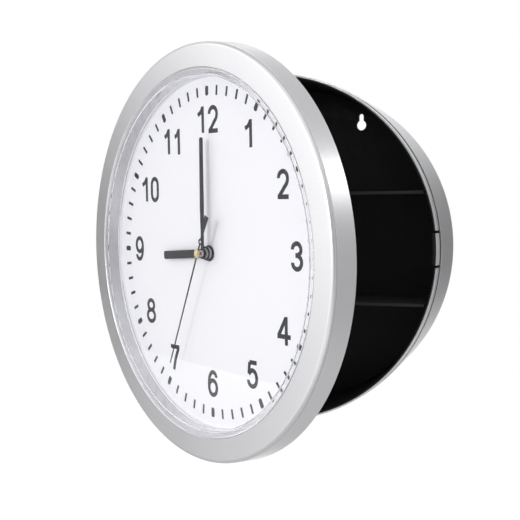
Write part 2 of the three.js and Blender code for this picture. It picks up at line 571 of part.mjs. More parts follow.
piece(door, 'second_wheel', join(
  rod(ARBOR_R, ARBOR_END, SECOND.n + SECOND.t, 16),
  toothed('seconds', mSeconds, 0, 0, SECOND_LEVEL, WHEEL_T),
  toothed('secondPinion', mThird, 0, 0, THIRD_LEVEL, PINION_T),
), brass);
piece(door, 'third_wheel', join(
  rod(ARBOR_R, ARBOR_END, ARBOR_TOP),
  toothed('third', mThird, meshPhase(CENTRE, 'secondPinion', THIRD_AT, 'third'), 0, THIRD_LEVEL, WHEEL_T),
  toothed('thirdPinion', mMinutes, 0, 0, MINUTE_LEVEL, PINION_T),
), brass, [...THIRD_AT, 0]);
const minutesPhase = meshPhase(THIRD_AT, 'thirdPinion', CENTRE, 'minutes');
piece(door, 'centre_wheel', join(
  tube(MINUTE_IN, MINUTE_OUT, MINUTE_LEVEL - WHEEL_T / 2 - PLY, MINUTE.n + MINUTE.t + COLLET.high),
  toothed('minutes', mMinutes, minutesPhase, minuteBore, MINUTE_LEVEL, WHEEL_T),
  toothed('cannon', mSetting, 0, minuteBore, SETTING_LEVEL, PINION_T - PLY),
), brass);
piece(door, 'minute_wheel', join(
  rod(ARBOR_R, COVER_REAR - WHEEL_GAP, ARBOR_TOP),
  toothed('setting', mSetting, meshPhase(CENTRE, 'cannon', SETTING_AT, 'setting'), 0, SETTING_LEVEL, WHEEL_T),
  toothed('settingPinion', mHours, 0, 0, HOUR_LEVEL, PINION_T),
), naturalPlastic, [...SETTING_AT, 0]);
piece(door, 'setting_knob', cut(
  turned([[0, -KNOB.high], [KNOB.r - KNOB.chamfer, -KNOB.high], [KNOB.r, KNOB.chamfer - KNOB.high],
    [KNOB.r, 0], [0, 0]], 20),
  rod(ARBOR_R + RUN, -WHEEL_GAP, 1),
), naturalPlastic, [...SETTING_AT, COVER_REAR - FIT]);
const hoursPhase = meshPhase(SETTING_AT, 'settingPinion', CENTRE, 'hours');
piece(door, 'hour_wheel', join(
  tube(HOUR_IN, HOUR_OUT, HOUR_LEVEL - WHEEL_T / 2, HOUR.n + HOUR.t),
  toothed('hours', mHours, hoursPhase, hourBore, HOUR_LEVEL, WHEEL_T - PLY),
), naturalPlastic);
piece(door, 'middle_wheel', join(
  rod(ARBOR_R, ARBOR_END, SECOND_LEVEL + WHEEL_T),
  toothed('middle', mMiddle, 0, 0, MIDDLE_LEVEL, WHEEL_T),
  toothed('middlePinion', mSeconds, meshPhase(CENTRE, 'seconds', MIDDLE_AT, 'middlePinion'), 0,
    SECOND_LEVEL - PLY, LEVEL_DROP),
), naturalPlastic, [...MIDDLE_AT, 0]);
const rotorPhase = meshPhase(MIDDLE_AT, 'middle', ROTOR_AT, 'rotorPinion');
piece(door, 'rotor', join(
  rod(ARBOR_R, ARBOR_END, THIRD_LEVEL + 2 * WHEEL_T),
  toothed('rotorPinion', mMiddle, rotorPhase, 0, MIDDLE_LEVEL, PINION_T),
  rod(ROTOR_R, THIRD_LEVEL - WHEEL_T - PLY, THIRD_LEVEL + 2 * WHEEL_T, 16),
), steel, [...ROTOR_AT, 0]);

// Inside of the case: its width follows the cell, its foot the wheels and the cell, and its top the coil
const insideX = BATTERY.long / 2 + BATTERY.nubLong / 2 + (3 * FIT + CONTACT_T + SPRING_L) / 2 + PLY / 2;
const bayTop = -tipR('minutes', mMinutes) - WHEEL_GAP;
const bayFloor = bayTop - BAY_WALL;
const batteryY = bayFloor - FIT - BATTERY.r;
const batteryN = FLOOR_N - PLY - BATTERY.r;
const insideFoot = batteryY - BATTERY.r - PLY;
const coilY = ROTOR_AT[1] + COIL_RISE;
const insideTop = coilY + FLANGE + 2 * FIT;

// Movement case: a tray with a bay for the cell, and a cover over the wheels
const [caseX, caseFoot, caseTop] = [insideX + CASE_T, insideFoot - CASE_T, insideTop + CASE_T];
const topHalf = [[caseX, caseTop - CASE_ROUND], [caseX - CASE_ROUND, caseTop]];
const footHalf = [[caseX - CASE_ROUND, caseFoot], [caseX, caseFoot + CASE_ROUND]];
const mirrored = (half) => [...half, ...half.map(([x, y]) => [-x, y]).reverse()];
piece(door, 'case_front', cut(
  plate(mirrored([...footHalf, ...topHalf]), CASE_REAR, CASE_FRONT),
  box([-insideX, insideX], [bayTop, insideTop], [CASE_REAR - 1, FLOOR_N]),
  box([-insideX, insideX], [insideFoot, bayFloor], [CASE_REAR - 1, FLOOR_N]),
  rod(BUSH_OUT + THREAD, CASE_REAR, 0, 24),
), blackPlastic);
piece(door, 'case_cover', plate(mirrored([[caseX, bayFloor], ...topHalf]), COVER_REAR, COVER_REAR + COVER_T,
  [circle(ARBOR_R + 2 * RUN, ...SETTING_AT, 16)]), blackPlastic);

// Cell and contacts: the plus end meets a flat contact, the minus end a bowed one
const plusX = insideX - FIT;
const cellX = plusX - CONTACT_T - FIT - BATTERY.nubLong - BATTERY.long / 2;
piece(door, 'battery', turned([[0, -BATTERY.long / 2], [BATTERY.r, -BATTERY.long / 2],
  [BATTERY.r, BATTERY.long / 2 - FIT], [BATTERY.nub, BATTERY.long / 2],
  [BATTERY.nub, BATTERY.long / 2 + BATTERY.nubLong], [0, BATTERY.long / 2 + BATTERY.nubLong]], 24),
jacket, [cellX, batteryY, batteryN], [0, QUARTER, 0]);
const contactHalf = BATTERY.r * 0.6;
piece(door, 'battery_contact_plus', box([plusX - CONTACT_T, plusX], [-contactHalf, contactHalf],
  [-contactHalf, contactHalf]), steel, [0, batteryY, batteryN]);
const bow = cellX - BATTERY.long / 2 - FIT + plusX;
piece(door, 'battery_contact_minus', profiled([[0, -contactHalf], [CONTACT_T, -contactHalf], [bow, 0],
  [CONTACT_T, contactHalf], [0, contactHalf], [bow - CONTACT_T, 0]], contactHalf), steel,
[-plusX, batteryY, batteryN]);

// Motor: a stator plate round the rotor, whose bar carries the coil
const statorHalf = COIL_HALF + STATOR_REACH;
const coilX = insideX - STATOR_GAP - statorHalf;
const coilAt = [coilX, coilY, THIRD_LEVEL];
const windowHalf = statorHalf - STATOR_LEG;
const rotorX = ROTOR_AT[0] - coilX;
const holeR = ROTOR_R + ROTOR_HOLE;
const statorFoot = -COIL_RISE - holeR - STATOR_LEG;
const shoulder = statorFoot + holeR - 1;
piece(door, 'stator', plate([[-statorHalf, shoulder], [rotorX - ROTOR_R, statorFoot],
  [rotorX + ROTOR_R, statorFoot], [statorHalf, shoulder], [statorHalf, CORE.y], [-statorHalf, CORE.y]],
-CORE.n, CORE.n, [
  [[-windowHalf, holeR + 1 - COIL_RISE], [-windowHalf, -CORE.y], [windowHalf, -CORE.y],
    [windowHalf, holeR + 1 - COIL_RISE]],
  circle(holeR, rotorX, -COIL_RISE),
]), steel, coilAt);
const bar = (x, y, z) => box([-x, x], [-y, y], [-z, z]);
const bobbin = [CORE.y + PLY + BOBBIN_T, CORE.n + PLY + BOBBIN_T];
const flange = (side) => bar(FLANGE_T / 2, FLANGE, FLANGE).translate(side * (COIL_HALF - FLANGE_T / 2), 0, 0);
piece(door, 'coil_bobbin', cut(
  join(bar(COIL_HALF - FLANGE_T / 2, ...bobbin), ...both(flange)),
  bar(COIL_HALF + 1, CORE.y + PLY, CORE.n + PLY),
), naturalPlastic, coilAt);
const windingHalf = COIL_HALF - FLANGE_T - THREAD;
piece(door, 'coil_winding', cut(
  alongX(rod(COIL_R, -windingHalf, windingHalf)),
  bar(COIL_HALF, ...bobbin.map((half) => half + PLY)),
), copper, coilAt);

// Circuit board above the third wheel, with the crystal behind it
const boardX = [2 * FIT - insideX, coilX - statorHalf - STATOR_REACH];
const boardY = [THIRD_AT[1] + tipR('third', mThird) + WHEEL_GAP, insideTop - 2 * FIT];
const boardMid = (boardY[0] + boardY[1]) / 2;
const boardN = [THIRD_LEVEL - BOARD_T / 2, THIRD_LEVEL + BOARD_T / 2];
piece(door, 'circuit_board', box(boardX, boardY, boardN), board);
piece(door, 'quartz_crystal', alongX(rod(CRYSTAL.r, -CRYSTAL.long / 2, CRYSTAL.long / 2)), steel,
  [boardX[0] + CRYSTAL.long, boardMid, boardN[0] - FIT - CRYSTAL.r]);

export default clockSafe;
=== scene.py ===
"""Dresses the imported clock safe: a wall clock whose dial is the hinged door of a shelved tub.

Run as a script. Each operator makes one piece of the clock, or one group of like pieces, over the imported
model that is loaded below. Sections are drawn in millimetres in two local frames. The tub's frame has x
right, y up and z out from the wall. The door's frame has x across the dial, y up and z out of the dial.
"""

import json
import math

import bmesh
import bpy
from bpy.props import FloatProperty, FloatVectorProperty, PointerProperty
from mathutils import Matrix, Vector


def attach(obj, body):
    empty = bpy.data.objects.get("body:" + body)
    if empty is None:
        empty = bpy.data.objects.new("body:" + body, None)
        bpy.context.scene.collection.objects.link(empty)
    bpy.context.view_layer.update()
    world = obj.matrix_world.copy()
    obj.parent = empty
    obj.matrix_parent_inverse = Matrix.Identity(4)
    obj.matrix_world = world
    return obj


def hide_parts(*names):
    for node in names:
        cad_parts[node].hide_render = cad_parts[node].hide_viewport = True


bl_info = {
    "name": "Clock Safe",
    "version": (1, 0, 0),
    "blender": (4, 5, 0),
    "location": "3D View > Sidebar > Clock Safe",
    "description": "Dresses a wall clock whose dial is the door of a hidden tub",
    "category": "Object",
}

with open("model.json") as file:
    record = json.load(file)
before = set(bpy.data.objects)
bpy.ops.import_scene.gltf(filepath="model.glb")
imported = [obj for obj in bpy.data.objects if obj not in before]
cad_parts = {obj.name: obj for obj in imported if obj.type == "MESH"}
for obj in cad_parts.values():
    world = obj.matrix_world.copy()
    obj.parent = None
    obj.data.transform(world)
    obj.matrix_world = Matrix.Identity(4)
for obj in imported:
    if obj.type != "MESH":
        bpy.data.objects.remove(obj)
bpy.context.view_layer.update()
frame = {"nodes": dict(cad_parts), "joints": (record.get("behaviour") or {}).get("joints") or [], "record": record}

MM = 0.001
TURN = 2 * math.pi
STEPS = 192                      # facets of the large rings
NEAR = 1e-4                      # values closer than this are the same, for points in millimetres
INK_GAP = 0.01                   # millimetres between the dial and its print, and between crossing strokes


def door_place():
    """The door's frame at rest, from the second hand's joint: x across the dial, y up, z out of it."""
    spin = next(joint for joint in frame["joints"] if joint["name"] == "second_spin")
    outward = -Vector(spin["axis"]).normalized()
    up = Vector((0, 0, 1))
    across = up.cross(outward)
    place = Matrix((across, up, outward)).transposed().to_4x4()
    place.translation = Vector(spin["pos_m"])
    return place


TUB = Matrix(((1, 0, 0), (0, 0, -1), (0, 1, 0))).to_4x4()
DOOR = door_place()

# Sections of the turned pieces: radius, height and corner radius, in millimetres
BEZEL = (
    (125.1, -3.85, 0.4), (124.55, 8.6, 0), (124.05, 8.75, 0.1), (124.02, 9.15, 0.1), (124.5, 9.35, 0.12),
    (124.4, 10.1, 0.4), (123.2, 11.35, 0.8), (110.0, 11.9, 0.15), (109.6, 11.5, 0.1),
    (106.45, 3.0, 0.15), (105.4, 2.8, 0.1), (105.4, 2.1, 0.1), (107.3, 2.1, 0.2), (111.1, 9.6, 0.6),
    (122.2, 9.3, 0.6), (122.9, -3.85, 0.4),
)
LENS = (
    (0, 11.6, 0), (108.9, 11.6, 0.2), (109.2, 11.3, 0.1), (109.1, 10.75, 0.1), (106.15, 10.7, 0.25),
    (106.05, 3.2, 0.1), (105.45, 3.2, 0.1), (105.5, 10.8, 0.25), (0, 10.8, 0),
)
DIAL = (
    (4.24, -0.5, 0), (105.55, -0.5, 0.1), (105.55, 1.9, 0.05), (105.3, 1.9, 0.05), (105.3, 0, 0.1),
    (4.24, 0, 0.05),
)
# The shell's black ridge, from 50.95 to 52.85 high and out to 110.95, fills the gap between the sleeve and the
# lip. It is a black band that is painted shade of the groove between them.
SHELL = (
    (0, 0, 0), (103, 0, 0), (106, 0, 0.8), (109.7, 50, 0), (109.75, 50.95, 0.05), (110.95, 50.95, 0.1),
    (110.95, 52.85, 0.1), (109.7, 52.85, 0.05), (109.7, 59.2, 0.05), (110.2, 59.2, 0.05), (110.2, 60, 0.15),
    (109.4, 60, 0.2), (108.4, 50, 0), (104.95, 2, 1.4), (102, 2, 0), (0, 2, 0),
)
SLEEVE = (
    (106.4, 0, 0.1), (106.9, 0, 0.4), (107.6, 1, 0.6), (111.5, 50.85, 0.2), (109.9, 50.85, 0.06),
    (109.9, 50, 0),
)
LIP = (
    (109.8, 52.95, 0.05), (110.95, 52.95, 0.15), (111.45, 60, 0.4), (110.3, 60, 0.1), (110.3, 59.1, 0.05),
    (109.8, 59.1, 0.05),
)
TONGUE = ((110.05, 54.0, 0.1), (111.1, 54.0, 0.25), (110.6, 60, 0.2), (110.05, 60, 0.2))
TONGUE_ARM = (
    (105.08, 38, 0.2), (106.28, 38, 0.2), (107.9, 50, 0), (107.9, 53.4, 0.2), (109.95, 53.4, 0.2),
    (109.95, 59.6, 0.2), (108.9, 59.6, 0.2), (108.9, 54.6, 0.2), (106.7, 54.6, 0.2), (106.7, 50, 0),
)
CAP = [(2.95 * math.sin(turn), 9.3 - 1.3 * math.cos(turn), 0)
       for turn in (math.pi * k / 16 for k in range(17))]
COLLET = (
    (1.63, 5.8, 0.05), (1.95, 5.8, 0.1), (1.95, 7.05, 0.12), (1.15, 7.05, 0.1), (1.15, 6.95, 0.02),
    (1.63, 6.95, 0.02),
)
HOUR_COLLET = (
    (2.55, 3.2, 0.05), (3.0, 3.2, 0.1), (3.0, 3.95, 0.15), (1.75, 3.95, 0.1), (1.75, 3.83, 0.02),
    (2.55, 3.83, 0.02),
)
WASHER = ((3.35, 0.1, 0.1), (4.35, 0.1, 0.1), (4.85, 0.75, 0.1), (4.85, 0.95, 0.1), (3.35, 0.95, 0.1))
BUSH = (
    (2.72, -5.7, 0.1), (6.2, -5.7, 0.2), (6.2, -4.0, 0.2), (3.3, -4.0, 0), (3.3, 2.45, 0.15),
    (2.72, 2.45, 0.1),
)

# Blades of the hands, drawn pointing to 12: half of the outline, from the tip's middle to the tail's
HOUR = ((1.1, 47), (1.8, 46.8), (2.3, 46.35), (2.55, 45.7), (2.6, 45), (2.6, 0), (2.2, -1.4))
MINUTE = ((1, 69.2), (1.75, 68.4), (2, 26.3), (1.5, 13.8), (1.5, 0))
SECOND = ((0.45, 77), (0.62, 0), (0.62, -9.5), (2.1, -24.7))
TAIL_RING = -8                   # millimetres from the hub to the second hand's ring

# Bezel's screw posts: their circle, the post's and the bore's radius, and the post's ends and the bore's end
POST_CIRCLE, POST_R, POST_BORE = 116, 3, 1.4
POST_FOOT, POST_TOP, BORE_END = 2.1, 10.6, 6.8

# Keyholes: centre across and up, the slot's upper end, the hole's radius and half the slot's width
KEY_ACROSS, KEY_UP, KEY_TOP = 45.7, 80.2, 86.1
KEY_R, KEY_SLOT = 3.4, 1.7

# Corners of the cutters that notch the lip, and half the tongue's width at its radius
HINGE_NOTCH = ((-125, -42, 55.2), (-51, 42, 61))
LATCH_NOTCH = ((55, -11.4, 52.85), (125, 11.4, 61))
TONGUE_HALF, TONGUE_R = 9.45, 108.5

# The hands' angles, in degrees clockwise from 12
HOUR_AT, MINUTE_AT, SECOND_AT = -93.3, 0.5, 205.3

# Ribs on the door base: how many, inner and outer end, the ring's radius, half thickness, crest and foot
RIBS, RIB_IN, RIB_OUT, RIB_RING = 8, 41, 96, 76
RIB_HALF, RIB_CREST, RIB_FOOT = 0.6, -3.5, -2.5

# Crossed screws: head radius that parts large from small, the rise of each, and half the recess's width.
# The shaft's radius and the recess's reach are shares of the head's radius.
LARGE_HEAD, LARGE_RISE, SMALL_RISE, BAR_HALF = 2.5, 1.5, 1.2, 0.28
SHAFT_SHARE, BAR_SHARE = 0.46, 0.62

# Hub's nut: radius to its corners, lower and upper end, and the bore's radius
NUT_R, NUT_LOW, NUT_HIGH, NUT_BORE = 3.9, 1.05, 2.35, 3.35

# Setting knob: radius, points round its rim, and a flute's share of the radius
KNOB_R, KNOB_POINTS, FLUTE = 4.6, 80, 0.95

# Camera: lens and sensor in millimetres, place in metres, and the picture's right, down and depth
LENS_MM, SENSOR_MM = 69.79, 36
CAMERA_AT = (0.25279, -0.65653, 0.03416)
PICTURE_RIGHT = (0.9181960, 0.3957822, -0.0165081)
PICTURE_DOWN = (0.0101619, -0.0651943, -0.9978208)
PICTURE_DEPTH = (-0.3959960, 0.9160273, -0.0638831)

# Digits as strokes through points (x, y, way), in shares of the half width and half height. At h the stroke
# runs level, at v upright, at f it flows through and at s it is straight.
DIGITS = {
    "0": (((0, 1, "h"), (1, 0.4, "v"), (1, -0.4, "v"), (0, -1, "h"), (-1, -0.4, "v"), (-1, 0.4, "v")),),
    "1": (((1, 1.14, "s"), (1, -1.14, "s")), ((0.9, 1.0, "s"), (0.1, 0.62, "s"), (-1.1, 0.42, "s"))),
    "2": (((-1, 0.46, "v"), (0, 1, "h"), (1, 0.44, "v"), (0.05, -0.4, "f"), (-1, -1.0, "f")),
          ((-1.22, -1, "s"), (1.22, -1, "s"))),
    "3": (((-1, 0.52, "v"), (-0.05, 1, "h"), (0.88, 0.5, "v"), (-0.2, 0.07, "h")),
          ((-0.35, 0.07, "s"), (-0.1, 0.07, "s")),
          ((-0.2, 0.07, "h"), (1, -0.45, "v"), (0, -1, "h"), (-1, -0.5, "v"))),
    "4": (((0.42, 1.14, "s"), (0.42, -1.14, "s")), ((0.34, 1.0, "s"), (-1.0, -0.42, "s")),
          ((-1.2, -0.46, "s"), (1.2, -0.46, "s"))),
    "5": (((-0.62, 1, "s"), (1.05, 1, "s")), ((-0.66, 1.0, "s"), (-0.86, 0.0, "s")),
          ((-0.86, 0.02, "f"), (0.05, 0.34, "h"), (1, -0.32, "v"), (0, -1, "h"), (-1, -0.5, "v"))),
    "6": (((0.9, 0.56, "v"), (0.1, 1, "h"), (-1, 0.0, "v"), (-1, -0.3, "v"), (0, -1, "h"), (1, -0.36, "v"),
           (0.05, 0.27, "h"), (-1, -0.36, "v")),),
    "7": (((-1.22, 1, "s"), (1.22, 1, "s")), ((1.0, 0.96, "f"), (0.05, -0.2, "f"), (-0.42, -1.14, "f"))),
    "8": (((0, 0.08, "h"), (0.82, 0.54, "v"), (0, 1, "h"), (-0.82, 0.54, "v"), (0, 0.08, "h")),
          ((0, 0.08, "h"), (1, -0.46, "v"), (0, -1, "h"), (-1, -0.46, "v"), (0, 0.08, "h"))),
}
ROUND_SHARE = 0.5523             # length of a handle that draws a quarter of an ellipse

# Numerals of the dial: digit, centre across, centre up, width
NUMERALS = (
    ("1", -7.3, 80.2, 7.5), ("2", 5.9, 79.9, 10.4), ("1", 40.4, 69.3, 7.6), ("2", 71.4, 40.2, 10.4),
    ("3", 82.5, 1.1, 10.2), ("4", 70.3, -40.4, 12.3), ("5", 40.7, -68.5, 10.6), ("6", 0.5, -79.3, 10.7),
    ("7", -41.2, -68.3, 10.7), ("8", -69.4, -40.4, 11.4), ("9", -82.3, 0.2, 10.4), ("1", -74.0, 39.3, 7.6),
    ("0", -61.5, 39.1, 9.9), ("1", -45.6, 69.0, 7.1), ("1", -33.9, 68.4, 6.9),
)


# Shapes


def bevel(bm, geom, width, segments=2, affect="EDGES"):
    """Rounds edges or corners to a width."""
    bmesh.ops.bevel(bm, geom=geom, offset=width, offset_type="OFFSET", segments=segments, profile=0.5,
                    affect=affect, clamp_overlap=True, material=-1)


def thicken(bm, rise):
    """Gives a flat shape a thickness along Z."""
    grown = bmesh.ops.extrude_face_region(bm, geom=bm.faces[:])["geom"]
    raised = [item for item in grown if isinstance(item, bmesh.types.BMVert)]
    bmesh.ops.translate(bm, vec=(0, 0, rise), verts=raised)
    bmesh.ops.recalc_face_normals(bm, faces=bm.faces[:])


def turned(section, steps=STEPS, turn=TURN, start=0.0):
    """A body of revolution about Z, in millimetres, with the section's corners rounded before it is spun."""
    bm = bmesh.new()
    corners = [(bm.verts.new((radius, 0, height)), rounding) for radius, height, rounding in section]
    bm.faces.new([vert for vert, _ in corners])
    for width in sorted({rounding for _, rounding in corners if rounding}):
        bevel(bm, [vert for vert, rounding in corners if rounding == width], width, 3, "VERTICES")
    bmesh.ops.delete(bm, geom=bm.faces[:], context="FACES_ONLY")
    on_axis = [edge for edge in bm.edges if all(vert.co.x < NEAR for vert in edge.verts)]
    if on_axis:
        bmesh.ops.delete(bm, geom=on_axis, context="EDGES")
    bmesh.ops.rotate(bm, cent=(0, 0, 0), matrix=Matrix.Rotation(start, 3, "Z"), verts=bm.verts[:])
    full = abs(turn - TURN) < NEAR
    bmesh.ops.spin(bm, geom=bm.verts[:] + bm.edges[:], cent=(0, 0, 0), axis=(0, 0, 1), dvec=(0, 0, 0),
                   angle=turn, steps=steps, use_merge=full)
    bmesh.ops.remove_doubles(bm, verts=bm.verts[:], dist=NEAR)
    if not full:
        bmesh.ops.holes_fill(bm, edges=[edge for edge in bm.edges if edge.is_boundary], sides=0)
    bmesh.ops.recalc_face_normals(bm, faces=bm.faces[:])
    bm.normal_update()
    bmesh.ops.dissolve_verts(bm, verts=[      # a flat middle becomes one face
        vert for vert in bm.verts if vert.co.xy.length < NEAR
        and all(abs(face.normal.z) > 1 - NEAR for face in vert.link_faces)])
    return bm


def block(low, high, width=0.0):
    """A box between two corners, in millimetres, with its edges rounded to that width."""
    low, high = Vector(low), Vector(high)
    bm = bmesh.new()
    bmesh.ops.create_cube(bm, size=1)
    bmesh.ops.scale(bm, vec=high - low, verts=bm.verts[:])
    bmesh.ops.translate(bm, vec=(low + high) / 2, verts=bm.verts[:])
    if width:
        bevel(bm, bm.edges[:], width)
    return bm


def drum(radius, low, high, sides=48, width=0.0):
    """A round post about Z, in millimetres, with its rims rounded to that width."""
    bm = bmesh.new()
    bmesh.ops.create_cone(bm, cap_ends=True, segments=sides, radius1=radius, radius2=radius, depth=high - low)
    bmesh.ops.translate(bm, vec=(0, 0, (low + high) / 2), verts=bm.verts[:])
    if width:
        bevel(bm, [edge for edge in bm.edges if abs(edge.verts[0].co.z - edge.verts[1].co.z) < NEAR], width)
    return bm


def plate(half_outline, low, high, width):
    """A flat plate that is the same on both sides of Y, in millimetres, with its front rim rounded."""
    bm = bmesh.new()
    mirrored = [(-x, y) for x, y in reversed(half_outline)]
    bm.faces.new([bm.verts.new((x, y, low)) for x, y in (*half_outline, *mirrored)])
    thicken(bm, high - low)
    bevel(bm, [edge for edge in bm.edges if all(abs(vert.co.z - high) < NEAR for vert in edge.verts)], width)
    return bm


def moved(bm, shift=(0, 0, 0), angle=0.0, axis="Z"):
    """The same shape turned about an axis through the origin and then shifted."""
    bmesh.ops.rotate(bm, cent=(0, 0, 0), matrix=Matrix.Rotation(angle, 3, axis), verts=bm.verts[:])
    bmesh.ops.translate(bm, vec=shift, verts=bm.verts[:])
    return bm


def joined(parts):
    """Several shapes as one."""
    whole = bmesh.new()
    for part in parts:
        mesh = bpy.data.meshes.new("part")
        part.to_mesh(mesh)
        part.free()
        whole.from_mesh(mesh)
        bpy.data.meshes.remove(mesh)
    return whole


def soften(mesh, limit=35.0):
    """Smooth faces, with the edges above that angle left sharp."""
    bm = bmesh.new()
    bm.from_mesh(mesh)
    for face in bm.faces:
        face.smooth = True
    for edge in bm.edges:
        edge.smooth = edge.calc_face_angle(0) < math.radians(limit)
    bm.to_mesh(mesh)
    bm.free()


def to_object(bm, name, place=None):
    """The shape as a linked object; a place turns millimetres of a local frame into the row's metres."""
    if place:
        bmesh.ops.transform(bm, matrix=place @ Matrix.Scale(MM, 4), verts=bm.verts[:])
    mesh = bpy.data.meshes.new(name)
    bm.to_mesh(mesh)
    bm.free()
    piece = bpy.data.objects.new(name, mesh)
    bpy.context.scene.collection.objects.link(piece)
    return piece


def combine(piece, tools, operation="DIFFERENCE"):
    """Cuts the tools from the piece, or joins them to it, and deletes them."""
    for tool in tools:
        modifier = piece.modifiers.new("combine", "BOOLEAN")
        modifier.operation = operation
        modifier.solver = "EXACT"
        modifier.object = tool
        bpy.context.view_layer.update()
        result = bpy.data.meshes.new_from_object(piece.evaluated_get(bpy.context.evaluated_depsgraph_get()))
        piece.modifiers.clear()
        piece.data = result
        bpy.data.objects.remove(tool)


def finish_piece(piece, body, slot, nodes=(), limit=35.0, material=None):
    """Gives a piece its shading, material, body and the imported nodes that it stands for."""
    soften(piece.data, limit)
    weighted = piece.modifiers.new("flat_faces", "WEIGHTED_NORMAL")
    weighted.keep_sharp = True
    piece.data.materials.clear()
    piece.data.materials.append(material or bpy.data.materials[slot])
    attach(piece, body)
    if nodes:
        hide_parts(*nodes)


def dressed(node, name, body, slot, width, limit=30.0):
    """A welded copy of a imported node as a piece, with its sharp edges rounded to a width in millimetres."""
    bm = bmesh.new()
    bm.from_mesh(frame["nodes"][node].data)
    bmesh.ops.remove_doubles(bm, verts=bm.verts[:], dist=NEAR * MM)
    bmesh.ops.dissolve_limit(bm, angle_limit=math.radians(0.5), verts=bm.verts[:], edges=bm.edges[:])
    bevel(bm, [edge for edge in bm.edges if edge.is_manifold
               and edge.calc_face_angle(0) > math.radians(limit)], width * MM)
    finish_piece(to_object(bm, name), body, slot, [node])


def printed(bm, name):
    """Ink on the dial."""
    finish_piece(to_object(bm, name, DOOR), "door", "hand_metal", material=bpy.data.materials["dial_ink"])


def node_span(node, place):
    """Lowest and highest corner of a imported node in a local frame, in millimetres."""
    inverse = place.inverted()
    points = [inverse @ vert.co / MM for vert in frame["nodes"][node].data.vertices]
    return (Vector([min(point[k] for point in points) for k in range(3)]),
            Vector([max(point[k] for point in points) for k in range(3)]))


# Materials


class Graph:
    """Adds nodes to a tree: inputs by name, with a value or another node's output."""

    def __init__(self, tree):
        self.tree = tree

    def add(self, kind, inputs=None, **settings):
        """One node with its settings and inputs."""
        node = self.tree.nodes.new(kind)
        for name, value in settings.items():
            setattr(node, name, value)
        for name, value in (inputs or {}).items():
            socket = node.inputs[name]
            if isinstance(value, bpy.types.NodeSocket):
                self.tree.links.new(value, socket)
            else:
                socket.default_value = value
        return node

    def point(self):
        """The place on the piece, in its own frame."""
        return self.add("ShaderNodeTexCoord").outputs["Object"]

    def noise(self, scale, detail, at=None, **more):
        """Noise over the piece, or at other places."""
        inputs = {"Vector": at or self.point(), "Scale": scale, "Detail": detail, **more}
        return self.add("ShaderNodeTexNoise", inputs).outputs[0]

    def spread(self, value, low, high, start=0.0, end=1.0):
        """A value between start and end, moved to lie between low and high."""
        return self.add("ShaderNodeMapRange", {"Value": value, "From Min": start, "From Max": end,
                                               "To Min": low, "To Max": high}).outputs[0]

    def math(self, operation, *values):
        """The result of one sum."""
        return self.add("ShaderNodeMath", dict(enumerate(values)), operation=operation).outputs[0]

    def blend(self, share, first, second, kind="MIX"):
        """Two colours mixed by a share."""
        return self.add("ShaderNodeMix", {0: share, 6: first, 7: second}, data_type="RGBA",
                        blend_type=kind).outputs[2]


def group(name, inputs, outputs):
    """An empty node group with number inputs and their defaults, and its graph and ends."""
    tree = bpy.data.node_groups.new(name, "ShaderNodeTree")
    for label, default in inputs:
        socket = tree.interface.new_socket(label, in_out="INPUT", socket_type="NodeSocketFloat")
        socket.default_value = default
    for label in outputs:
        tree.interface.new_socket(label, in_out="OUTPUT", socket_type="NodeSocketFloat")
    graph = Graph(tree)
    return tree, graph, graph.add("NodeGroupInput"), graph.add("NodeGroupOutput")


def grain_group():
    """Fine grain of paint or moulding: a height for bump and a slight change of tone."""
    tree, graph, source, sink = group("surface_grain", [("Scale", 900.0), ("Contrast", 0.05)],
                                      ["Height", "Tone"])
    fine = graph.noise(source.outputs["Scale"], 3.0, Roughness=0.6)
    tone = graph.math("MULTIPLY_ADD", graph.math("SUBTRACT", fine, 0.5), source.outputs["Contrast"], 1.0)
    tree.links.new(fine, sink.inputs["Height"])
    tree.links.new(tone, sink.inputs["Tone"])


def handling_group():
    """Broad faint patches where hands and cloths have been: a change of gloss."""
    tree, graph, source, sink = group("handling", [("Scale", 18.0), ("Low", 0.3), ("High", 0.4)], ["Gloss"])
    broad = graph.noise(source.outputs["Scale"], 4.0, Roughness=0.55, Distortion=0.4)
    gloss = graph.spread(broad, source.outputs["Low"], source.outputs["High"], 0.3, 0.7)
    tree.links.new(gloss, sink.inputs["Gloss"])


def edge_group():
    """Where corners are rubbed: a mask along convex edges, broken up by noise."""
    tree, graph, source, sink = group("rubbed_edge", [("Start", 0.52), ("End", 0.62)], ["Mask"])
    sharp = graph.add("ShaderNodeNewGeometry").outputs["Pointiness"]
    edge = graph.spread(sharp, 0.0, 1.0, source.outputs["Start"], source.outputs["End"])
    tree.links.new(graph.math("MULTIPLY", edge, graph.noise(220.0, 2.0)), sink.inputs["Mask"])


def dust_group():
    """Fine dust that settles on faces that look up."""
    tree, graph, source, sink = group("dust", [("Amount", 0.1)], ["Mask"])
    up = graph.add("ShaderNodeSeparateXYZ", {0: graph.add("ShaderNodeNewGeometry").outputs["Normal"]})
    facing = graph.spread(up.outputs["Z"], 0.0, source.outputs["Amount"], 0.3)
    mask = graph.math("MULTIPLY", facing, graph.noise(400.0, 4.0, Roughness=0.7))
    tree.links.new(mask, sink.inputs["Mask"])


def use(graph, name, **inputs):
    """One of the shared groups inside a material, with its own values."""
    node = graph.add("ShaderNodeGroup", node_tree=bpy.data.node_groups[name])
    for label, value in inputs.items():
        node.inputs[label].default_value = value
    return node.outputs


def new_material(name):
    """An empty node material, with its graph and its output."""
    material = bpy.data.materials.new(name)
    material.use_nodes = True
    material.node_tree.nodes.clear()
    graph = Graph(material.node_tree)
    return material, graph, graph.add("ShaderNodeOutputMaterial")


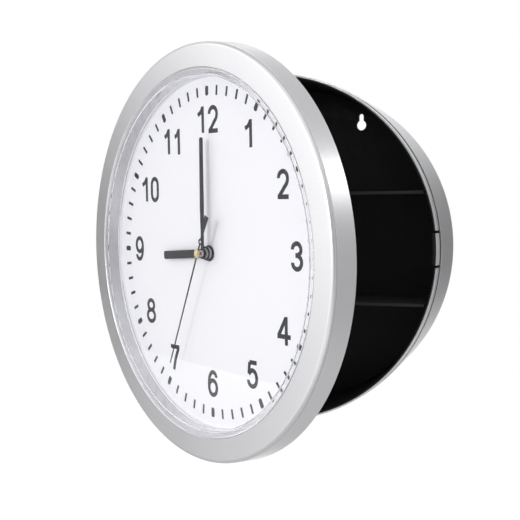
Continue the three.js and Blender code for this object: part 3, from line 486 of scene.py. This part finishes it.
def surface(name, color, gloss, grain=(900.0, 0.06), bump=2e-5, metallic=0.0, specular=0.5, coat=0.0,
            rubbed=0.0, dusty=0.0, rub_color=(0.85, 0.85, 0.85), pattern=None):
    """A solid finish: a colour with fine grain, broad changes of gloss, rubbed corners and dust.

    gloss is the lowest and highest roughness, grain the noise scale and contrast, and bump its depth in
    metres. pattern adds a look of its own: from a graph and a colour it makes a colour and a height.
    """
    material, graph, output = new_material(name)
    fine = use(graph, "surface_grain", Scale=grain[0], Contrast=grain[1])
    worn = use(graph, "rubbed_edge")
    settled = use(graph, "dust", Amount=dusty)
    handled = use(graph, "handling", Low=gloss[0], High=gloss[1])
    tinted = graph.blend(1.0, (*color, 1.0), fine["Tone"], "MULTIPLY")
    height = fine["Height"]
    if pattern:
        tinted, height = pattern(graph, tinted)
    worn_color = graph.blend(graph.math("MULTIPLY", worn["Mask"], rubbed), tinted, (*rub_color, 1.0))
    dusted = graph.blend(settled["Mask"], worn_color, (0.5, 0.49, 0.47, 1.0))
    relief = graph.add("ShaderNodeBump", {"Height": height, "Distance": bump, "Strength": 1.0}).outputs[0]
    shader = graph.add("ShaderNodeBsdfPrincipled", {
        "Base Color": dusted, "Roughness": handled["Gloss"], "Metallic": metallic,
        "Specular IOR Level": specular, "Coat Weight": coat, "Coat Roughness": 0.2, "Normal": relief,
    })
    material.node_tree.links.new(shader.outputs[0], output.inputs["Surface"])


def clear_plastic(name, color):
    """Clear moulded plastic with faint smears, which lets lamps and soft light through to the dial."""
    material, graph, output = new_material(name)
    handled = use(graph, "handling", Scale=30.0, Low=0.0, High=0.03)
    shader = graph.add("ShaderNodeBsdfPrincipled", {
        "Base Color": (*color, 1.0), "Roughness": handled["Gloss"], "Transmission Weight": 1.0, "IOR": 1.49,
    })
    clear = graph.add("ShaderNodeBsdfTransparent", {"Color": (0.97, 0.97, 0.98, 1.0)})
    path = graph.add("ShaderNodeLightPath").outputs
    deep = graph.math("GREATER_THAN", path["Ray Depth"], 3.5)
    soft = graph.math("MAXIMUM", path["Is Shadow Ray"], path["Is Diffuse Ray"])
    mixed = graph.add("ShaderNodeMixShader", {0: graph.math("MAXIMUM", soft, deep), 1: shader.outputs[0],
                                              2: clear.outputs[0]})
    material.node_tree.links.new(mixed.outputs[0], output.inputs["Surface"])


def brushed(axis):
    """A pattern of fine brush marks across an axis of the piece, as on rolled or turned metal."""
    def pattern(graph, color):
        scale = [2500.0, 2500.0, 2500.0]
        scale[axis] = 60.0
        stretched = graph.add("ShaderNodeMapping", {"Vector": graph.point(), "Scale": scale})
        marks = graph.noise(1.0, 2.0, stretched.outputs[0])
        return graph.blend(1.0, color, graph.spread(marks, 0.85, 1.1), "MULTIPLY"), marks
    return pattern


def wound(graph, color):
    """Close turns of fine wire, one beside another across the piece."""
    wave = graph.add("ShaderNodeTexWave", {"Vector": graph.point(), "Scale": 900.0, "Distortion": 0.6,
                                           "Detail": 1.0}, wave_type="BANDS", bands_direction="DIAGONAL")
    turns = wave.outputs["Fac"]
    return graph.blend(1.0, color, graph.spread(turns, 0.45, 1.1), "MULTIPLY"), turns


# Settings that a user may change


def length(label, text, millimetres):
    """A setting for a length."""
    return FloatProperty(name=label, description=text, default=millimetres * MM, unit="LENGTH")


def tint(label, text, default):
    """A setting for a colour."""
    return FloatVectorProperty(name=label, description=text, default=default, subtype="COLOR")


class SafeSizes(bpy.types.PropertyGroup):
    """Sizes of the printed dial."""

    numeral_height: length("Numeral height", "Height of the dial's numerals", 16.5)
    numeral_stroke: length("Numeral stroke", "Width of the numerals' strokes", 2.6)
    tick_radius: length("Tick radius", "Distance of the ticks' middles from the centre", 97.1)
    tick_length: length("Tick length", "Length of each tick", 5.9)
    minute_width: length("Minute tick", "Width of a minute tick", 1.8)
    hour_width: length("Hour tick", "Width of an hour tick", 3.2)
    print_depth: length("Print thickness", "Thickness of the printed ink", 0.04)


class SafeFinish(bpy.types.PropertyGroup):
    """Colours of the finishes and the level of the studio light."""

    paint: tint("Silver paint", "Paint of the bezel and the tub's sleeve", (0.72, 0.72, 0.735))
    plastic: tint("Black plastic", "Moulded tub, shelves and door base", (0.022, 0.022, 0.023))
    dial: tint("Dial", "Printed white dial", (0.93, 0.93, 0.955))
    ink: tint("Ink", "Ticks and numerals", (0.02, 0.02, 0.023))
    hand: tint("Hands", "Paint of the hands", (0.013, 0.013, 0.0148))
    brass: tint("Brass", "Brass parts", (0.52, 0.43, 0.26))
    steel: tint("Steel", "Plated steel parts", (0.58, 0.58, 0.59))
    lamp_power: FloatProperty(name="Key lamp", description="Power of the main lamp in watts", default=5.4)
    soft_level: FloatProperty(name="Soft light", description="Level of the even light from all round",
                              default=1.0)


# Operators, in the order in which they run


class SAFE_OT_finishes(bpy.types.Operator):
    """Builds the shared effects and the materials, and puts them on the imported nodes."""

    bl_idname = "safe.finishes"
    bl_label = "Finishes"

    def execute(self, context):
        look = context.scene.safe_finish
        for plain in list(bpy.data.materials):
            bpy.data.materials.remove(plain)
        grain_group()
        handling_group()
        edge_group()
        dust_group()
        surface("silver_paint", look.paint, (0.34, 0.4), (1500.0, 0.10), 1.2e-5, metallic=0.85, rubbed=0.15)
        surface("black_plastic", look.plastic, (0.5, 0.62), (1200.0, 0.3), 3e-5, specular=0.2, dusty=0.02,
                rubbed=0.04)
        clear_plastic("clear_plastic", (1.0, 1.0, 1.0))
        surface("white_dial", look.dial, (0.55, 0.65), (2500.0, 0.02), 5e-6, specular=0.3)
        surface("dial_ink", look.ink, (0.4, 0.5), (3000.0, 0.2), 5e-6, specular=0.3)
        surface("hand_metal", look.hand, (0.38, 0.46), (2000.0, 0.12), 6e-6, specular=0.2, rubbed=0.1)
        surface("brass", look.brass, (0.12, 0.18), (1500.0, 0.08), 4e-6, metallic=1.0, rubbed=0.2,
                rub_color=(0.95, 0.8, 0.5))
        surface("steel", look.steel, (0.25, 0.38), (1500.0, 0.08), 4e-6, metallic=1.0, pattern=brushed(2))
        surface("zinc", (0.62, 0.62, 0.64), (0.35, 0.45), (1500.0, 0.1), 4e-6, metallic=0.3)
        surface("natural_plastic", (0.78, 0.76, 0.7), (0.45, 0.55), (900.0, 0.06), 2e-5)
        surface("battery_jacket", (0.03, 0.12, 0.4), (0.3, 0.4), (1200.0, 0.06), 1e-5, coat=0.3)
        surface("board", (0.02, 0.12, 0.05), (0.4, 0.5), (1500.0, 0.2), 2e-5)
        surface("copper", (0.7, 0.28, 0.12), (0.25, 0.35), (1500.0, 0.1), 4e-5, metallic=1.0, pattern=wound)
        for part in frame["record"]["subparts"]:
            node = frame["nodes"][part["node"]]
            node.data.materials.clear()
            node.data.materials.append(bpy.data.materials[part["material_slot"]])
        return {"FINISHED"}


class SAFE_OT_bezel(bpy.types.Operator):
    """Silver ring of the door, with its screw posts behind the face."""

    bl_idname = "safe.bezel"
    bl_label = "Bezel"

    def execute(self, context):
        ring = to_object(turned(BEZEL), "bezel_ring", DOOR)
        posts, holes = [], []
        for k in range(4):
            angle = TURN / 8 + k * TURN / 4
            at = (POST_CIRCLE * math.cos(angle), POST_CIRCLE * math.sin(angle), 0)
            posts.append(to_object(moved(drum(POST_R, POST_FOOT, POST_TOP, 32, 0.3), at), "post", DOOR))
            holes.append(to_object(moved(drum(POST_BORE, 0, BORE_END, 24), at), "hole", DOOR))
        combine(ring, posts, "UNION")
        combine(ring, holes)
        finish_piece(ring, "door", "silver_paint", ["bezel"])
        return {"FINISHED"}


class SAFE_OT_lens(bpy.types.Operator):
    """Clear flat window on its thin skirt."""

    bl_idname = "safe.lens"
    bl_label = "Lens"

    def execute(self, context):
        lens = to_object(turned(LENS), "lens_cover", DOOR)
        finish_piece(lens, "door", "clear_plastic", ["lens"])
        return {"FINISHED"}


class SAFE_OT_dial(bpy.types.Operator):
    """White dial plate, and the sixty ticks printed round it."""

    bl_idname = "safe.dial"
    bl_label = "Dial and ticks"

    def tick(self, size, k):
        """The tick of one minute, with its corners rounded."""
        half = size.tick_length / MM / 2
        width = (size.minute_width if k % 5 else size.hour_width) / MM / 2
        tick = block((-width, -half, 0), (width, half, size.print_depth / MM))
        upright = [edge for edge in tick.edges if abs(edge.verts[0].co.z - edge.verts[1].co.z) > NEAR]
        bevel(tick, upright, width * (0.45 if k % 5 else 0.8), 4)
        moved(tick, (0, size.tick_radius / MM, INK_GAP))
        return moved(tick, angle=-k * TURN / 60)

    def execute(self, context):
        size = context.scene.safe_sizes
        finish_piece(to_object(turned(DIAL), "dial_plate", DOOR), "door", "white_dial", ["dial"])
        printed(joined(self.tick(size, k) for k in range(60)), "dial_ticks")
        return {"FINISHED"}


class SAFE_OT_numerals(bpy.types.Operator):
    """Plain numerals 1 to 12, drawn as flat strokes."""

    bl_idname = "safe.numerals"
    bl_label = "Numerals"

    def handles(self, spline, knots, half):
        """Sets a stroke's points, with handles that make quarters of ellipses between level and upright."""
        points = spline.bezier_points
        points.add(len(knots) - 1)
        at = [Vector((x * half[0], y * half[1], 0)) for x, y, _ in knots]
        last = len(knots) - 1
        for k, (point, (_, _, way)) in enumerate(zip(points, knots)):
            point.co = at[k]
            point.tilt = TURN / 4
            before = at[k - 1] if k or spline.use_cyclic_u else at[k]
            after = at[(k + 1) % len(at)] if k < last or spline.use_cyclic_u else at[k]
            kind = {"s": "VECTOR", "f": "AUTO"}.get(way, "FREE")
            point.handle_left_type = point.handle_right_type = kind
            if kind == "FREE":
                keep = Vector((1, 0, 0)) if way == "h" else Vector((0, 1, 0))
                point.handle_left = at[k] + ROUND_SHARE * (before - at[k]) * keep
                point.handle_right = at[k] + ROUND_SHARE * (after - at[k]) * keep

    def band(self, knots, half, stroke, closed):
        """One stroke as a flat band as wide as the stroke."""
        curve = bpy.data.curves.new("stroke", "CURVE")
        curve.dimensions = "3D"
        curve.twist_mode = "Z_UP"
        curve.extrude = stroke / 2
        curve.resolution_u = 16
        spline = curve.splines.new("BEZIER")
        spline.use_cyclic_u = closed
        self.handles(spline, knots, half)
        holder = bpy.data.objects.new("stroke", curve)
        flat = bpy.data.meshes.new_from_object(holder)
        bpy.data.objects.remove(holder)
        bpy.data.curves.remove(curve)
        band = bmesh.new()
        band.from_mesh(flat)
        bpy.data.meshes.remove(flat)
        bmesh.ops.remove_doubles(band, verts=band.verts[:], dist=NEAR)
        return band

    def strokes(self, size):
        """Every stroke of every numeral, in its place. Crossing strokes differ a little in thickness."""
        stroke = size.numeral_stroke / MM
        layer = 0
        for digit, across, up, width in NUMERALS:
            half = ((width - stroke) / 2, (size.numeral_height / MM - stroke) / 2)
            for knots in DIGITS["6" if digit == "9" else digit]:
                band = self.band(knots, half, stroke, digit == "0")
                layer += 1
                thicken(band, size.print_depth / MM + INK_GAP * (layer % 3))
                moved(band, (across, up, INK_GAP))
                if digit == "9":         # a 6 turned upside down
                    moved(band, (-across, -up, 0))
                    moved(band, (across, up, 0), TURN / 2)
                yield band

    def execute(self, context):
        printed(joined(self.strokes(context.scene.safe_sizes)), "dial_numerals")
        return {"FINISHED"}


class SAFE_OT_hands(bpy.types.Operator):
    """Hands with softened edges, and the cap, collet, washer and nut stacked behind them."""

    bl_idname = "safe.hands"
    bl_label = "Hands and hub"

    def hand(self, node, body, clockwise, blade, low, high, posts, bores):
        """One hand: its blade joined to round posts, with round bores, at an angle from 12.

        A post or bore is a radius, a start and an end above the dial, and a distance along the hand.
        """
        piece = to_object(plate(blade, low, high, 0.1), node + "_blade")
        combine(piece, [to_object(moved(drum(radius, start, end, 48, 0.08), (0, at, 0)), "post")
                        for radius, start, end, at in posts], "UNION")
        combine(piece, [to_object(moved(drum(radius, start, end, 32), (0, at, 0)), "bore")
                        for radius, start, end, at in bores])
        turn = Matrix.Rotation(-math.radians(clockwise), 4, "Z")
        piece.data.transform(DOOR @ turn @ Matrix.Scale(MM, 4))
        finish_piece(piece, body, "hand_metal", [node])

    def execute(self, context):
        zinc = bpy.data.materials["zinc"]
        # The hour hand's post is 4.3 mm in radius, wider than the nut below it, so that its black covers the nut's
        # front face. It is partly the hand's real hub and partly painted shade on the nut.
        self.hand("hour_hand", "hours", HOUR_AT, HOUR, 2.95, 3.3, [(4.3, 2.9, 3.15, 0)], [(2.55, 0, 5, 0)])
        self.hand("minute_hand", "minutes", MINUTE_AT, MINUTE, 5.2, 5.55, [(3.4, 5.17, 5.6, 0)],
                  [(1.65, 4, 7, 0)])
        self.hand("second_hand", "seconds", SECOND_AT, SECOND, 9, 9.3,
                  [(2.0, 9.02, 9.27, TAIL_RING), (1.8, 8.97, 9.33, 0), (0.85, 7.2, 9.1, 0)],
                  [(0.8, 8, 10, TAIL_RING), (0.62, 7, 8.9, 0)])
        for section, steps, name, body, slot, nodes in (
                (CAP, 64, "brass_cap", "seconds", "brass", ["second_cap"]),
                (COLLET, 64, "hand_collet", "minutes", "steel", ["minute_collet"]),
                (HOUR_COLLET, 64, "hour_hand_collet", "hours", "steel", []),
                (WASHER, 72, "fibre_washer", "door", "black_plastic", ["hand_washer"]),
                (BUSH, 72, "threaded_bush", "door", "steel", ["bushing"])):
            finish_piece(to_object(turned(section, steps), name, DOOR), body, slot, nodes,
                         material=zinc if slot == "steel" else None)
        nut = to_object(drum(NUT_R, NUT_LOW, NUT_HIGH, 6, 0.15), "clamp_nut")
        combine(nut, [to_object(drum(NUT_BORE, 0, 4, 48), "bore")])
        nut.data.transform(DOOR @ Matrix.Scale(MM, 4))
        finish_piece(nut, "door", "steel", ["hex_nut"], material=zinc)
        return {"FINISHED"}


class SAFE_OT_tub(bpy.types.Operator):
    """Black shell, silver sleeve and the two shelves, with the keyholes and the notches of the lip."""

    bl_idname = "safe.tub"
    bl_label = "Tub"

    def notches(self):
        """Cutters for the hinge side of the lip and for the latch tongue."""
        return [to_object(block(*corners), "notch", TUB) for corners in (HINGE_NOTCH, LATCH_NOTCH)]

    def execute(self, context):
        shell = to_object(turned(SHELL), "moulded_shell", TUB)
        cutters = self.notches()
        for side in (-1, 1):
            x = KEY_ACROSS * side
            for key in (moved(drum(KEY_R, -1, 3, 48), (x, KEY_UP, 0)),
                        moved(drum(KEY_SLOT, -1, 3, 32), (x, KEY_TOP, 0)),
                        block((x - KEY_SLOT, KEY_UP, -1), (x + KEY_SLOT, KEY_TOP, 3))):
                cutters.append(to_object(key, "key", TUB))
        combine(shell, cutters)
        finish_piece(shell, "tub", "black_plastic", ["tub_shell"])
        # The sleeve stops below the shell's black ridge and the lip starts above it, so that the ridge shows as
        # the groove's painted shade.
        sleeve = to_object(turned(SLEEVE), "painted_sleeve", TUB)
        combine(sleeve, [to_object(turned(LIP), "lip", TUB)], "UNION")
        combine(sleeve, self.notches())
        finish_piece(sleeve, "tub", "silver_paint", ["tub_sleeve"])
        for node in ("upper_shelf", "lower_shelf"):
            dressed(node, node + "_panel", "tub", "black_plastic", 0.4)
        return {"FINISHED"}


class SAFE_OT_latch(bpy.types.Operator):
    """Silver snap tongue in the lip, and the catch on the door."""

    bl_idname = "safe.latch"
    bl_label = "Latch"

    def execute(self, context):
        half = math.asin(TONGUE_HALF / TONGUE_R)
        tongue = to_object(turned(TONGUE, 24, 2 * half, -half), "snap_tongue", TUB)
        finish_piece(tongue, "tub", "silver_paint", ["latch_tongue"])
        arm = to_object(turned(TONGUE_ARM, 24, 2 * half, -half), "tongue_arm", TUB)
        finish_piece(arm, "tub", "black_plastic")
        dressed("latch_catch", "latch_catch_hook", "door", "black_plastic", 0.25)
        return {"FINISHED"}


class SAFE_OT_hinge(bpy.types.Operator):
    """Hinge bracket, arm and pin behind the bezel at 9 o'clock."""

    bl_idname = "safe.hinge"
    bl_label = "Hinge"

    def execute(self, context):
        for node, body, slot in (("hinge_bracket", "tub", "black_plastic"),
                                 ("hinge_arm", "door", "black_plastic"), ("hinge_pin", "tub", "steel")):
            dressed(node, node + "_part", body, slot, 0.15, 40)
        return {"FINISHED"}


class SAFE_OT_base(bpy.types.Operator):
    """Black panel behind the dial, with its ears, the relief at the hinge and stiffening ribs."""

    bl_idname = "safe.base"
    bl_label = "Door base"

    def execute(self, context):
        dressed("dial_base", "base_panel", "door", "black_plastic", 0.12, 40)
        low, high = RIB_RING - RIB_HALF, RIB_RING + RIB_HALF
        ribs = [turned(((low, RIB_CREST, 0.15), (high, RIB_CREST, 0.15), (high, RIB_FOOT, 0),
                        (low, RIB_FOOT, 0)))]
        for k in range(RIBS):
            rib = block((RIB_IN, -RIB_HALF, RIB_CREST), (RIB_OUT, RIB_HALF, RIB_FOOT), 0.15)
            ribs.append(moved(rib, angle=(k + 0.5) * TURN / RIBS))
        finish_piece(to_object(joined(ribs), "base_ribs", DOOR), "door", "black_plastic")
        return {"FINISHED"}


class SAFE_OT_screws(bpy.types.Operator):
    """Pan-head screws with crossed recesses, each in the place of a packed screw."""

    bl_idname = "safe.screws"
    bl_label = "Screws"

    def screw(self, node, body, place, outward):
        """One screw whose head looks along outward, an axis of the local frame."""
        low, high = node_span(node, place)
        outward = Vector(outward)
        axis = max(range(3), key=lambda k: abs(outward[k]))
        others = [k for k in range(3) if k != axis]
        head = (high[others[0]] - low[others[0]]) / 2
        rise = LARGE_RISE if head > LARGE_HEAD else SMALL_RISE
        top = high[axis] if outward[axis] > 0 else low[axis]
        long = high[axis] - low[axis] - rise
        shaft = SHAFT_SHARE * head
        bm = turned((
            (0, -long, 0), (shaft * 0.5, -long, 0.1), (shaft, 0.8 - long, 0.1), (shaft, 0, 0), (head, 0, 0.1),
            (head, rise * 0.4, 0.3), (head * 0.7, rise * 0.9, 0.4), (0, rise, 0),
        ), 32)
        turn = Vector((0, 0, 1)).rotation_difference(outward).to_matrix()
        centre = (low + high) / 2
        centre[axis] = top - outward[axis] * rise
        local = place @ Matrix.Translation(centre * MM) @ turn.to_4x4()
        piece = to_object(bm, node + "_pan", local)
        arm = head * BAR_SHARE
        combine(piece, [to_object(block((-x, -y, rise * 0.45), (x, y, rise * 2)), "bar", local)
                        for x, y in ((arm, BAR_HALF), (BAR_HALF, arm))])
        finish_piece(piece, body, "steel", [node])

    def execute(self, context):
        for k in range(1, 5):
            self.screw(f"bezel_screw_{k}", "door", DOOR, (0, 0, -1))
        for name in ("upper", "lower"):
            self.screw(f"arm_screw_{name}", "door", DOOR, (0, 0, -1))
            self.screw(f"catch_screw_{name}", "door", DOOR, (0, 0, -1))
            self.screw(f"hinge_screw_{name}", "tub", TUB, (1, 0, 0))
            self.screw(f"latch_screw_{name}", "tub", TUB, (-1, 0, 0))
        return {"FINISHED"}


class SAFE_OT_movement(bpy.types.Operator):
    """Movement case and cover, the fluted setting knob and the cell in its bay."""

    bl_idname = "safe.movement"
    bl_label = "Movement"

    def execute(self, context):
        for node in ("case_front", "case_cover"):
            dressed(node, node + "_part", "door", "black_plastic", 0.25, 40)
        low, high = node_span("setting_knob", DOOR)
        centre = (low + high) / 2
        knob = drum(KNOB_R, low.z, high.z, KNOB_POINTS, 0.3)
        for vert in knob.verts:
            step = round(math.atan2(vert.co.y, vert.co.x) / (TURN / KNOB_POINTS))
            if step % 4 < 2:
                vert.co.x *= FLUTE
                vert.co.y *= FLUTE
        moved(knob, (centre.x, centre.y, 0))
        finish_piece(to_object(knob, "fluted_knob", DOOR), "setting", "natural_plastic", ["setting_knob"], 30)
        low, high = node_span("battery", DOOR)
        centre = (low + high) / 2
        long = high.x - low.x
        can = turned(((0, 0, 0), (5, 0, 0.2), (5.2, 0.25, 0.1), (6.6, 0.25, 0.3), (7.0, 0.9, 0.3),
                      (7.0, long - 2.3, 0.3), (6.5, long - 1.7, 0.3), (2.9, long - 1.5, 0.2),
                      (2.7, long, 0.3), (0, long, 0)), 64)
        jacket = turned(((6.9, 0.8, 0), (7.1, 0.8, 0.05), (7.1, long - 2.4, 0.05), (6.9, long - 2.4, 0)), 64)
        for bm, name, slot, nodes in ((can, "cell_can", "steel", ["battery"]),
                                      (jacket, "cell_jacket", "battery_jacket", [])):
            moved(bm, angle=TURN / 4, axis="Y")
            moved(bm, (low.x, centre.y, centre.z))
            finish_piece(to_object(bm, name, DOOR), "door", slot, nodes)
        return {"FINISHED"}


class SAFE_OT_stage(bpy.types.Operator):
    """Camera at the photograph's angle, plain soft light, pale floor and white background."""

    bl_idname = "safe.stage"
    bl_label = "Stage"

    def camera(self):
        """The camera that stands right of the clock and looks slightly down."""
        data = bpy.data.cameras.new("camera")
        data.lens = LENS_MM
        data.sensor_width = SENSOR_MM
        camera = bpy.data.objects.new("camera", data)
        axes = (Vector(PICTURE_RIGHT), -Vector(PICTURE_DOWN), -Vector(PICTURE_DEPTH))
        camera.matrix_world = Matrix.Translation(CAMERA_AT) @ Matrix(axes).transposed().to_4x4()
        bpy.context.scene.collection.objects.link(camera)
        bpy.context.scene.camera = camera

    def lamp(self, name, at, aim, size, power):
        """A round soft lamp that looks from one point to another."""
        data = bpy.data.lights.new(name, "AREA")
        data.shape = "DISK"
        data.size = size
        data.energy = power
        lamp = bpy.data.objects.new(name, data)
        lamp.location = at
        lamp.rotation_euler = (Vector(at) - Vector(aim)).to_track_quat("Z", "Y").to_euler()
        bpy.context.scene.collection.objects.link(lamp)

    def card(self, name, centre, facing, size, level, slope=(0, 0, 0), dark=(0, 0, 0), rise=0.0, lean=0.0):
        """A board that only gloss sees. Its level changes along the slope and rises away from a dark point.

        lean is how steeply the lower edge climbs along Y, and facing the way that the lit side looks.
        """
        board = bmesh.new()
        bmesh.ops.create_grid(board, x_segments=1, y_segments=1, size=0.5)
        bmesh.ops.scale(board, vec=(*size, 1), verts=board.verts[:])
        turn = Vector(facing).to_track_quat("Z", "Y").to_matrix()
        bmesh.ops.rotate(board, cent=(0, 0, 0), matrix=turn, verts=board.verts[:])
        for vert in board.verts:
            if vert.co.z < 0:
                vert.co.z += lean * vert.co.y
        bmesh.ops.translate(board, vec=centre, verts=board.verts[:])
        piece = to_object(board, name)
        material, graph, output = new_material(name)
        at = graph.point()
        along = graph.add("ShaderNodeVectorMath", {0: at, 1: slope}, operation="DOT_PRODUCT").outputs["Value"]
        away = graph.add("ShaderNodeVectorMath", {0: at, 1: dark}, operation="DISTANCE").outputs["Value"]
        strength = graph.math("MULTIPLY_ADD", away, rise, graph.math("ADD", along, level))
        kept = graph.add("ShaderNodeClamp", {"Value": strength, "Min": 0.02, "Max": 1.9})
        glow = graph.add("ShaderNodeEmission", {"Color": (1, 1, 1, 1), "Strength": kept.outputs[0]})
        material.node_tree.links.new(glow.outputs[0], output.inputs["Surface"])
        piece.data.materials.append(material)
        piece.visible_camera = piece.visible_shadow = piece.visible_diffuse = False

    def seen_white(self, graph):
        """A mask that is 1 to the camera, mirrors and glass, which see a white background."""
        path = graph.add("ShaderNodeLightPath").outputs
        seen = graph.math("MAXIMUM", path["Is Camera Ray"], path["Is Glossy Ray"])
        return graph.math("MAXIMUM", seen, path["Is Transmission Ray"])

    def execute(self, context):
        scene = context.scene
        look = scene.safe_finish
        self.camera()
        scene.view_settings.view_transform = "Standard"
        world = bpy.data.worlds.new("studio")
        world.use_nodes = True
        scene.world = world
        world.node_tree.nodes.clear()
        graph = Graph(world.node_tree)
        seen = self.seen_white(graph)
        strength = graph.spread(seen, look.soft_level, 1.0)
        light = graph.add("ShaderNodeBackground", {"Color": (1, 1, 1, 1), "Strength": strength})
        output = graph.add("ShaderNodeOutputWorld")
        world.node_tree.links.new(light.outputs[0], output.inputs["Surface"])
        centre = DOOR.translation
        outward = DOOR.to_3x3() @ Vector((0.19, 0.31, 1)).normalized()
        self.lamp("key_lamp", centre + 1.6 * outward, centre, 0.1, look.lamp_power)
        self.lamp("side_lamp", (1.45, 0.34, 0.85), (0.09, -0.17, 0), 0.5, 3.0)
        self.card("left_card", (-1.5, -0.4, 0.1), (1, 0, 0), (2.4, 2.5), 0.25, (0, -3.1, 1.0))
        self.card("glare_flag", (-1.48, -0.28, -0.01), (1, 0, 0), (0.46, 0.63), 0.15, lean=0.3)
        self.card("left_low_card", (-1.49, -0.4, -0.715), (1, 0, 0), (2.4, 0.97), 0.37, (0, -0.9, 0))
        self.card("back_card", (0.5, 1.5, 0), (0, -1, 0), (2.3, 2.3), -0.72, dark=(0.55, 1.5, -0.03),
                  rise=1.9)
        self.card("right_card", (1.66, 0.0, 0.3), (-1, 0, 0), (2.9, 3.0), 0.4)
        self.card("top_card", (0, 0.6, 1.8), (0, 0, -1), (3.0, 2.0), 0.58)
        self.card("low_card", (0, 0.1, -1.15), (0, 0, 1), (3.2, 2.4), 0.55)
        self.card("front_card", (0.66, -1.6, 0.1), (-0.4, 1, 0), (1.1, 1.2), 0.04)
        floor = bmesh.new()
        bmesh.ops.create_circle(floor, cap_ends=True, segments=64, radius=6)
        bmesh.ops.translate(floor, vec=(0, 0, -1.2), verts=floor.verts[:])
        ground = to_object(floor, "floor")
        material, graph, output = new_material("pale_floor")
        seen = self.seen_white(graph)
        speckle = graph.add("ShaderNodeTexNoise", {"Scale": 40.0, "Detail": 3.0})
        solid = graph.add("ShaderNodeBsdfDiffuse", {"Color": graph.spread(speckle.outputs[0], 0.86, 0.9)})
        lift = graph.math("MULTIPLY", seen, 1 - 0.85 * look.soft_level)
        white = graph.add("ShaderNodeEmission", {"Color": (1, 1, 1, 1), "Strength": lift})
        mixed = graph.add("ShaderNodeAddShader", {0: solid.outputs[0], 1: white.outputs[0]})
        material.node_tree.links.new(mixed.outputs[0], output.inputs["Surface"])
        ground.data.materials.append(material)
        return {"FINISHED"}


OPERATORS = (
    SAFE_OT_finishes, SAFE_OT_bezel, SAFE_OT_lens, SAFE_OT_dial, SAFE_OT_numerals, SAFE_OT_hands, SAFE_OT_tub,
    SAFE_OT_latch, SAFE_OT_hinge, SAFE_OT_base, SAFE_OT_screws, SAFE_OT_movement, SAFE_OT_stage,
)


class SAFE_PT_panel(bpy.types.Panel):
    """Lists the operators and settings in the sidebar."""

    bl_idname = "SAFE_PT_panel"
    bl_label = "Clock Safe"
    bl_space_type = "VIEW_3D"
    bl_region_type = "UI"
    bl_category = "Clock Safe"

    def draw(self, context):
        for group_of_settings in (context.scene.safe_sizes, context.scene.safe_finish):
            for name in group_of_settings.__annotations__:
                self.layout.prop(group_of_settings, name)
        for operator in OPERATORS:
            self.layout.operator(operator.bl_idname)


CLASSES = (SafeSizes, SafeFinish, *OPERATORS, SAFE_PT_panel)


def register():
    """Registers the classes and their settings."""
    for cls in CLASSES:
        bpy.utils.register_class(cls)
    bpy.types.Scene.safe_sizes = PointerProperty(type=SafeSizes)
    bpy.types.Scene.safe_finish = PointerProperty(type=SafeFinish)


def unregister():
    """Removes the classes and their settings."""
    del bpy.types.Scene.safe_finish
    del bpy.types.Scene.safe_sizes
    for cls in reversed(CLASSES):
        bpy.utils.unregister_class(cls)


def main():
    register()
    for operator in OPERATORS:
        name = operator.bl_idname.split(".")[1]
        if getattr(bpy.ops.safe, name)() != {"FINISHED"}:
            raise RuntimeError(f"{operator.bl_label} did not finish")


if __name__ == "__main__":
    main()
